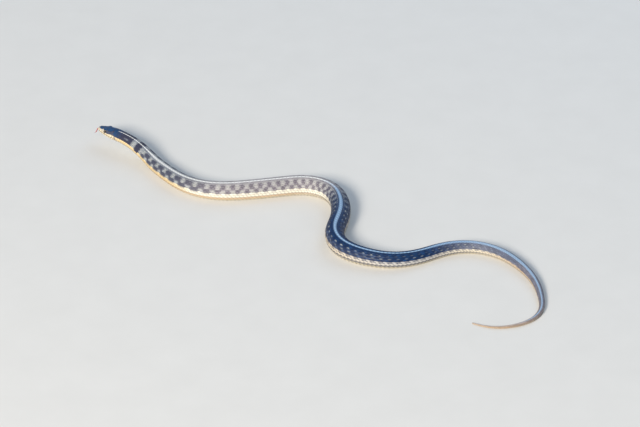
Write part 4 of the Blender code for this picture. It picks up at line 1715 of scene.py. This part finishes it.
@dataclass
class Wiring:
    """Adds shader nodes to one tree and links them."""

    tree: bpy.types.NodeTree

    def add(self, kind: str, **settings: object) -> bpy.types.Node:
        """Add a node of a kind and set its own properties."""
        node = self.tree.nodes.new(kind)
        for name, value in settings.items():
            setattr(node, name, value)
        return node

    def fill(self, node: bpy.types.Node, **values: object) -> bpy.types.Node:
        """Feed a node's inputs, given by their names with underscores for spaces."""
        for name, value in values.items():
            self.feed(node.inputs[name.replace("_", " ")], value)
        return node

    def feed(self, socket: Socket, value: object) -> None:
        """Link a socket to another one, or give it a plain value."""
        if isinstance(value, bpy.types.NodeSocket):
            self.tree.links.new(value, socket)
        elif isinstance(value, tuple) and len(value) == 3 and socket.type == "RGBA":
            socket.default_value = (*value, 1.0)
        else:
            socket.default_value = value

    def maths(self, operation: str, first: object, second: object = 0.0, clamp: bool = False) -> Socket:
        """Add a Math node.

        Args:
            operation: the node's operation.
            first: its first value.
            second: its second value.
            clamp: true to keep the result between 0 and 1.

        Returns:
            The result.
        """
        node = self.add("ShaderNodeMath", operation=operation, use_clamp=clamp)
        self.feed(node.inputs[0], first)
        self.feed(node.inputs[1], second)
        return node.outputs[0]

    def times(self, first: object, second: object) -> Socket:
        """Product of two values."""
        return self.maths("MULTIPLY", first, second)

    def plus(self, first: object, second: object, clamp: bool = False) -> Socket:
        """Sum of two values."""
        return self.maths("ADD", first, second, clamp)

    def mix(self, part: object, first: object, second: object, blend: str = "MIX") -> Socket:
        """Mix two colours.

        Args:
            part: how much of the second colour, from 0 to 1.
            first: the colour below.
            second: the colour above.
            blend: how the second is laid over the first.

        Returns:
            The mixed colour.
        """
        node = self.add("ShaderNodeMix", data_type="RGBA", blend_type=blend, clamp_factor=True)
        self.feed(node.inputs[0], part)
        self.feed(node.inputs[6], first)
        self.feed(node.inputs[7], second)
        return node.outputs[2]

    def range(self, value: object, low: float, high: float, to_low: float, to_high: float) -> Socket:
        """Map a value from one range to another and keep it there.

        Args:
            value: the value.
            low: start of its range.
            high: end of its range.
            to_low: result at the start.
            to_high: result at the end.

        Returns:
            The mapped value.
        """
        node = self.add("ShaderNodeMapRange", clamp=True)
        for socket, given in zip(node.inputs, (value, low, high, to_low, to_high)):
            self.feed(socket, given)
        return node.outputs[0]

    def split(self, colour: object) -> tuple[Socket, Socket, Socket]:
        """The three parts of a colour."""
        node = self.add("ShaderNodeSeparateColor")
        self.feed(node.inputs[0], colour)
        return node.outputs[0], node.outputs[1], node.outputs[2]

    def noise(self, place: Socket, scale: float, detail: float = 3.0, rough: float = 0.55) -> Socket:
        """Add a noise.

        Args:
            place: where it is read.
            scale: how many lumps there are to the metre.
            detail: number of finer layers.
            rough: strength of the finer layers.

        Returns:
            The noise's value, from 0 to 1.
        """
        node = self.add("ShaderNodeTexNoise")
        return self.fill(node, Vector=place, Scale=scale, Detail=detail, Roughness=rough).outputs["Fac"]

    def object_place(self) -> Socket:
        """The place in the object's own coordinates."""
        return self.add("ShaderNodeTexCoord").outputs["Object"]

    def relief(self, height: Socket, distance: float, strength: float = 1.0) -> Socket:
        """Normal of a surface raised by a height from 0 to 1."""
        node = self.add("ShaderNodeBump")
        return self.fill(node, Height=height, Distance=distance, Strength=strength).outputs["Normal"]


def new_finish(name: str) -> tuple[bpy.types.Material, Wiring, bpy.types.Node]:
    """Make a material, the wiring of its tree, and the shader node it starts with."""
    made = bpy.data.materials.new(name)
    made.use_nodes = True
    return made, Wiring(made.node_tree), made.node_tree.nodes["Principled BSDF"]


@dataclass(frozen=True)
class Palette:
    """The animal's colours, as light they send back, some with painted shade and reflection in them."""

    # The ground's blue tint is painted sky reflection on the glossy dark scales.
    ground: Colour = (0.200, 0.222, 0.290)
    # The hind body's own darker tone with painted blue shade, for the ground.
    slate: Colour = (0.006, 0.040, 0.132)
    brown: Colour = (0.440, 0.405, 0.440)
    dark: Colour = (0.045, 0.049, 0.088)
    # The spots in the hind body's own darker tone with painted blue shade.
    dark_slate: Colour = (0.001, 0.017, 0.072)
    dark_brown: Colour = (0.120, 0.100, 0.140)
    fleck: Colour = (0.74, 0.76, 0.66)
    cream: Colour = (0.80, 0.70, 0.50)
    flank_warm: Colour = (0.95, 0.71, 0.36)
    # The flank stripe's grey in painted shade, also a random tone in the belly's cream.
    flank_cool: Colour = (0.61, 0.59, 0.58)
    stripe_warm: Colour = (0.90, 0.91, 0.90)
    # The back stripe's blue in painted shade.
    stripe_cool: Colour = (0.33, 0.50, 0.73)
    edge: Colour = (0.022, 0.018, 0.022)
    # Painted blue sky reflection on the head's dark plates.
    crown: Colour = (0.014, 0.064, 0.175)
    tan: Colour = (0.60, 0.42, 0.27)
    # Painted warm shade along the flank's lower edge.
    blush: Colour = (0.80, 0.46, 0.20)

    def as_inputs(self) -> dict[str, Colour]:
        """The colours by the group's input names."""
        return {name.replace("_", " ").capitalize(): value for name, value in self.__dict__.items()}


# The flank stripe's paler colour over the mid-body: painted sunlight, where the light falls strongest.
SUNLIT_FLANK: Colour = (0.97, 0.93, 0.80)


class SnakeColours:
    """The shared shader group that turns the masks into colour, roughness and fine relief."""

    NAME = "snake_colours"

    def __init__(self, palette: Palette) -> None:
        """Make the group once, with one input for each mask colour and each palette colour."""
        self.tree = bpy.data.node_groups.new(self.NAME, "ShaderNodeTree")
        for name in ATTRIBUTES:
            self.socket(name.capitalize(), "Color")
        self.socket("Place", "Vector")
        for name, value in palette.as_inputs().items():
            self.socket(name, "Color", (*value, 1.0))
        self.socket("Edge strength", "Float", 0.6)
        self.socket("Gloss", "Float", 0.40)
        for name, kind in (("Colour", "Color"), ("Roughness", "Float"), ("Height", "Float")):
            self.tree.interface.new_socket(name=name, in_out="OUTPUT", socket_type=f"NodeSocket{kind}")
        self.wire()

    def socket(self, name: str, kind: str, value: object = None) -> None:
        """Add one input to the group, with its own value where it has one."""
        made = self.tree.interface.new_socket(name=name, in_out="INPUT", socket_type=f"NodeSocket{kind}")
        if value is not None:
            made.default_value = value

    def wire(self) -> None:
        """Lay the colours over each other: ground, flecks, spots, belly, flank stripe, back stripe."""
        w = Wiring(self.tree)
        given = w.add("NodeGroupInput").outputs
        stripe, flank, spot = w.split(given["Tones"])
        slate, brown, belly = w.split(given["Zones"])
        pale, edge, chance = w.split(given["Grains"])
        crown, tan, blush = w.split(given["Ends"])
        coarse = w.noise(given["Place"], 260.0)
        fine = w.noise(given["Place"], 1500.0, 2.0)
        speck = w.noise(given["Place"], 3200.0, 1.0)
        # Over the hind body the ground and the spots take the slate colours: their own darker tone with
        # painted blue shade.
        ground = w.mix(slate, given["Ground"], given["Slate"])
        ground = w.mix(brown, ground, given["Brown"])
        dark = w.mix(slate, given["Dark"], given["Dark slate"])
        dark = w.mix(brown, dark, given["Dark brown"])
        # Painted sky reflection: the dark plates of the head turn blue.
        dark = w.mix(crown, dark, given["Crown"])
        ground = w.mix(w.range(tan, 0.65, 1.0, 0.0, 0.65), ground, given["Tan"])
        shade = w.plus(w.plus(w.times(chance, 0.34), w.times(coarse, 0.7)), 0.48)
        ground = w.mix(1.0, ground, shade, "MULTIPLY")
        speckled = w.times(pale, w.range(fine, 0.30, 0.55, 0.45, 1.0))
        colour = w.mix(speckled, ground, given["Fleck"])
        dark = w.mix(w.range(speck, 0.62, 0.80, 0.0, 0.30), dark, ground)
        colour = w.mix(w.times(spot, w.range(coarse, 0.2, 0.5, 0.86, 1.0)), colour, dark)
        cream = w.mix(w.range(coarse, 0.35, 0.75, 0.0, 0.35), given["Cream"], given["Flank cool"])
        cream = w.mix(w.times(tan, 0.5), cream, given["Tan"])
        # Painted warm shade along the flank's lower edge, here and on the flank stripe below.
        cream = w.mix(w.times(blush, 0.60), cream, given["Blush"])
        covered = w.times(belly, w.maths("SUBTRACT", 1.0, w.times(spot, 0.75)))
        colour = w.mix(covered, colour, cream)
        # Where the slate mask is, the flank stripe turns grey: painted shade.
        warm = w.mix(slate, given["Flank warm"], given["Flank cool"])
        warm = w.mix(w.range(fine, 0.35, 0.8, 0.0, 0.40), warm, cream)
        # Painted sunlight: the flank stripe pales over the mid-body.
        warm = w.mix(w.range(brown, 0.0, 0.4, 0.0, 0.9), warm, SUNLIT_FLANK)
        warm = w.mix(w.times(blush, 0.55), warm, given["Blush"])
        warm = w.mix(tan, warm, given["Tan"])
        colour = w.mix(flank, colour, warm)
        # Where the slate mask is, the back stripe turns blue: painted shade.
        cool = w.range(slate, 0.0, 0.55, 0.0, 1.0)
        pale_stripe = w.mix(cool, given["Stripe warm"], given["Stripe cool"])
        pale_stripe = w.mix(w.range(tan, 0.85, 1.0, 0.0, 0.7), pale_stripe, given["Tan"])
        colour = w.mix(stripe, colour, pale_stripe)
        rim = w.times(edge, given["Edge strength"])
        colour = w.mix(rim, colour, w.mix(0.8, colour, given["Edge"]))
        darker = w.mix(1.0, colour, (0.7, 0.7, 0.7), "MULTIPLY")
        colour = w.mix(w.range(fine, 0.3, 0.7, 0.0, 0.22), colour, darker)
        rough = w.plus(given["Gloss"], w.range(fine, 0.3, 0.7, -0.06, 0.10))
        rough = w.plus(rough, w.times(rim, 0.12), True)
        height = w.plus(w.times(fine, 0.6), w.times(speck, 0.4))
        w.fill(w.add("NodeGroupOutput"), Colour=colour, Roughness=rough, Height=height)

    def dress(self, name: str, gloss: float, edge: float, relief: float, coat: float) -> bpy.types.Material:
        """Make one finish that uses the group.

        Args:
            name: the material's name.
            gloss: mean roughness.
            edge: how strongly rims are darkened.
            relief: depth of the fine relief.
            coat: weight of the thin clear coat.

        Returns:
            The new material.
        """
        made, w, shader = new_finish(name)
        group = w.add("ShaderNodeGroup", node_tree=self.tree)
        for title in ATTRIBUTES:
            read = w.add("ShaderNodeAttribute", attribute_name=title)
            w.feed(group.inputs[title.capitalize()], read.outputs["Color"])
        w.fill(group, Place=w.object_place(), Edge_strength=edge, Gloss=gloss)
        given = group.outputs
        w.fill(shader, Base_Color=given["Colour"], Roughness=given["Roughness"], Coat_Weight=coat,
               Coat_Roughness=0.28, Specular_IOR_Level=0.22,
               Normal=w.relief(given["Height"], relief, 0.6))
        return made


@dataclass(frozen=True)
class EyeFinish:
    """A wet dark iris with a paler ring round a black pupil, under a clear scale."""

    pupil_reach: float = 0.46
    ring_reach: float = 0.53
    pupil: Colour = (0.002, 0.002, 0.002)
    ring: Colour = (0.30, 0.19, 0.07)
    iris: Colour = (0.020, 0.012, 0.008)
    iris_rays: Colour = (0.070, 0.036, 0.014)
    rim: Colour = (0.012, 0.010, 0.010)

    def material(self) -> bpy.types.Material:
        """Colours by how far a point lies from the eye's own middle on its scale_place map."""
        made, w, shader = new_finish("eye_clear_scale")
        place = w.add("ShaderNodeUVMap", uv_map="scale_place").outputs[0]
        length = w.add("ShaderNodeVectorMath", operation="LENGTH")
        w.feed(length.inputs[0], place)
        away = length.outputs["Value"]
        rays = w.noise(place, 9.0, 4.0)
        iris = w.mix(w.range(rays, 0.35, 0.65, 0.0, 1.0), self.iris, self.iris_rays)
        iris = w.mix(w.range(away, 0.72, 0.95, 0.0, 1.0), iris, self.rim)
        bright = w.mix(w.range(away, self.ring_reach, self.ring_reach + 0.07, 0.0, 1.0), self.ring, iris)
        colour = w.mix(w.range(away, self.pupil_reach, self.pupil_reach + 0.03, 0.0, 1.0), self.pupil, bright)
        w.fill(shader, Base_Color=colour, Roughness=w.range(rays, 0.3, 0.7, 0.06, 0.14), Coat_Weight=1.0,
               Coat_Roughness=0.03)
        return made


@dataclass(frozen=True)
class TongueFinish:
    """Moist red flesh that turns black towards the tips."""

    flesh: Colour = (0.60, 0.018, 0.014)
    deep_flesh: Colour = (0.40, 0.012, 0.012)
    tip: Colour = (0.015, 0.010, 0.012)

    def material(self) -> bpy.types.Material:
        """Mix the colours by the blackness mask, with a fine moist relief."""
        made, w, shader = new_finish("tongue_flesh")
        black = w.split(w.add("ShaderNodeAttribute", attribute_name="tones").outputs["Color"])[2]
        grain = w.noise(w.object_place(), 2600.0)
        flesh = w.mix(w.range(grain, 0.35, 0.7, 0.0, 1.0), self.flesh, self.deep_flesh)
        w.fill(shader, Base_Color=w.mix(black, flesh, self.tip), Normal=w.relief(grain, 0.03 * MM),
               Roughness=w.range(grain, 0.3, 0.7, 0.22, 0.38))
        return made


@dataclass
class Studio:
    """The pale floor, the soft lights and the camera at the photo's angle."""

    target: tuple[float, float, float] = (7.9 * MM, 24.6 * MM, 0.0)
    elevation: float = 32.0
    distance: float = 2.66
    lens: float = 180.0
    sensor: float = 36.0
    floor_half: float = 4.0
    floor_level: float = -0.02 * MM

    def camera(self) -> None:
        """Add a long lens that looks along +Y and down at the target."""
        data = bpy.data.cameras.new("camera")
        data.lens = self.lens
        data.sensor_width = self.sensor
        data.clip_start = 0.05
        data.clip_end = 40.0
        camera = new_object("camera", data)
        tilt = math.radians(self.elevation)
        camera.location = (
            self.target[0],
            self.target[1] - math.cos(tilt) * self.distance,
            self.target[2] + math.sin(tilt) * self.distance,
        )
        camera.rotation_euler = (math.pi / 2 - tilt, 0.0, 0.0)
        bpy.context.scene.camera = camera

    def floor(self) -> None:
        """Add a wide level sheet of pale matt board, under the belly."""
        mesh = bpy.data.meshes.new("floor")
        corners = [(x * self.floor_half, y * self.floor_half, self.floor_level)
                   for x, y in ((-1, -1), (1, -1), (1, 1), (-1, 1))]
        mesh.from_pydata(corners, [], [(0, 1, 2, 3)])
        made, w, shader = new_finish("floor_board")
        cloud = w.noise(w.object_place(), 30.0)
        w.fill(shader, Base_Color=w.mix(cloud, (0.70, 0.69, 0.67), (0.75, 0.74, 0.72)), Roughness=0.85)
        mesh.materials.append(made)
        floor = new_object("floor", mesh)

    def lamp(self, name: str, place: tuple[float, float, float], size: float, power: float,
             colour: Colour) -> None:
        """Add a square soft light that is turned to the target.

        Args:
            name: the light's name.
            place: where it hangs.
            size: its width and height.
            power: its power in watts.
            colour: its colour.
        """
        data = bpy.data.lights.new(name, "AREA")
        data.size = size
        data.energy = power
        data.color = colour
        lamp = new_object(name, data)
        lamp.location = place
        away = np.array(place) - np.array(self.target)
        flat = math.hypot(away[0], away[1])
        lamp.rotation_euler = (math.atan2(flat, away[2]), 0.0, math.atan2(away[1], away[0]) + math.pi / 2)

    def lights(self) -> None:
        """Add a warm key from the front left, a cool fill from behind and a pale world all round."""
        self.lamp("key", (-1.9, -3.4, 2.3), 1.2, 240.0, (1.0, 0.93, 0.82))
        self.lamp("fill", (1.2, 1.5, 1.6), 1.6, 16.0, (0.60, 0.78, 1.0))
        world = bpy.data.worlds.new("studio")
        world.use_nodes = True
        back = world.node_tree.nodes["Background"]
        back.inputs["Color"].default_value = (0.74, 0.85, 1.0, 1.0)
        back.inputs["Strength"].default_value = 0.42
        bpy.context.scene.world = world
        bpy.context.scene.view_settings.view_transform = "Standard"


@dataclass
class Snake:
    """The whole animal, put together from its skin, coat, plates, eyes and tongue."""

    form: Form = field(default_factory=Form)
    lattice: Lattice = field(init=False)
    markings: Markings = field(init=False)
    colours: SnakeColours = field(init=False)

    def __post_init__(self) -> None:
        """Share one form, one lattice and one set of markings among all pieces."""
        self.lattice = Lattice(self.form)
        self.markings = Markings(self.lattice)
        self.colours = SnakeColours(Palette())

    def build(self) -> None:
        """Build and place every piece and hide the solids that it stands for."""
        coat = (self.form, self.lattice, self.markings)
        dress = self.colours.dress
        skin = Skin(*coat).build(dress("skin_finish", gloss=0.55, edge=0.8, relief=0.05 * MM, coat=0.0))
        self.take(skin, "body_skin", *FLESH_NODES)
        scale_finish = dress("scale_finish", gloss=0.44, edge=0.90, relief=0.03 * MM, coat=0.05)
        for name, unroll in STRETCHES.items():
            self.take(Scales(*coat).build(name, unroll, scale_finish), "body_skin")
        belly_finish = dress("belly_finish", gloss=0.36, edge=0.35, relief=0.02 * MM, coat=0.2)
        self.take(BellyPlates(*coat).build(belly_finish), "body_skin")
        plate_finish = dress("plate_finish", gloss=0.34, edge=0.9, relief=0.02 * MM, coat=0.25)
        self.take(HeadPlates(self.form).build(plate_finish), "head_skin")
        eye_finish = EyeFinish().material()
        for side, node in ((1, "eye_left"), (-1, "eye_right")):
            self.take(Eye(self.form, side).build(eye_finish), "eye", node)
        self.take(Tongue(self.form).build(TongueFinish().material()), "tongue", "tongue")

    def take(self, piece: bpy.types.Object, slot: str, *nodes: str) -> None:
        """Let a piece ride on the one body, and hide the solids that it stands for."""
        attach(piece, "root")
        if nodes:
            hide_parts(*nodes)


def main() -> None:
    """Load the frame, build the animal and the studio."""
    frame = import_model()
    LOG.info("frame has %d nodes", len(frame["nodes"]))
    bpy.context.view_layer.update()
    studio = Studio()
    studio.camera()
    studio.lights()
    studio.floor()
    Snake().build()


if __name__ == "__main__":
    main()
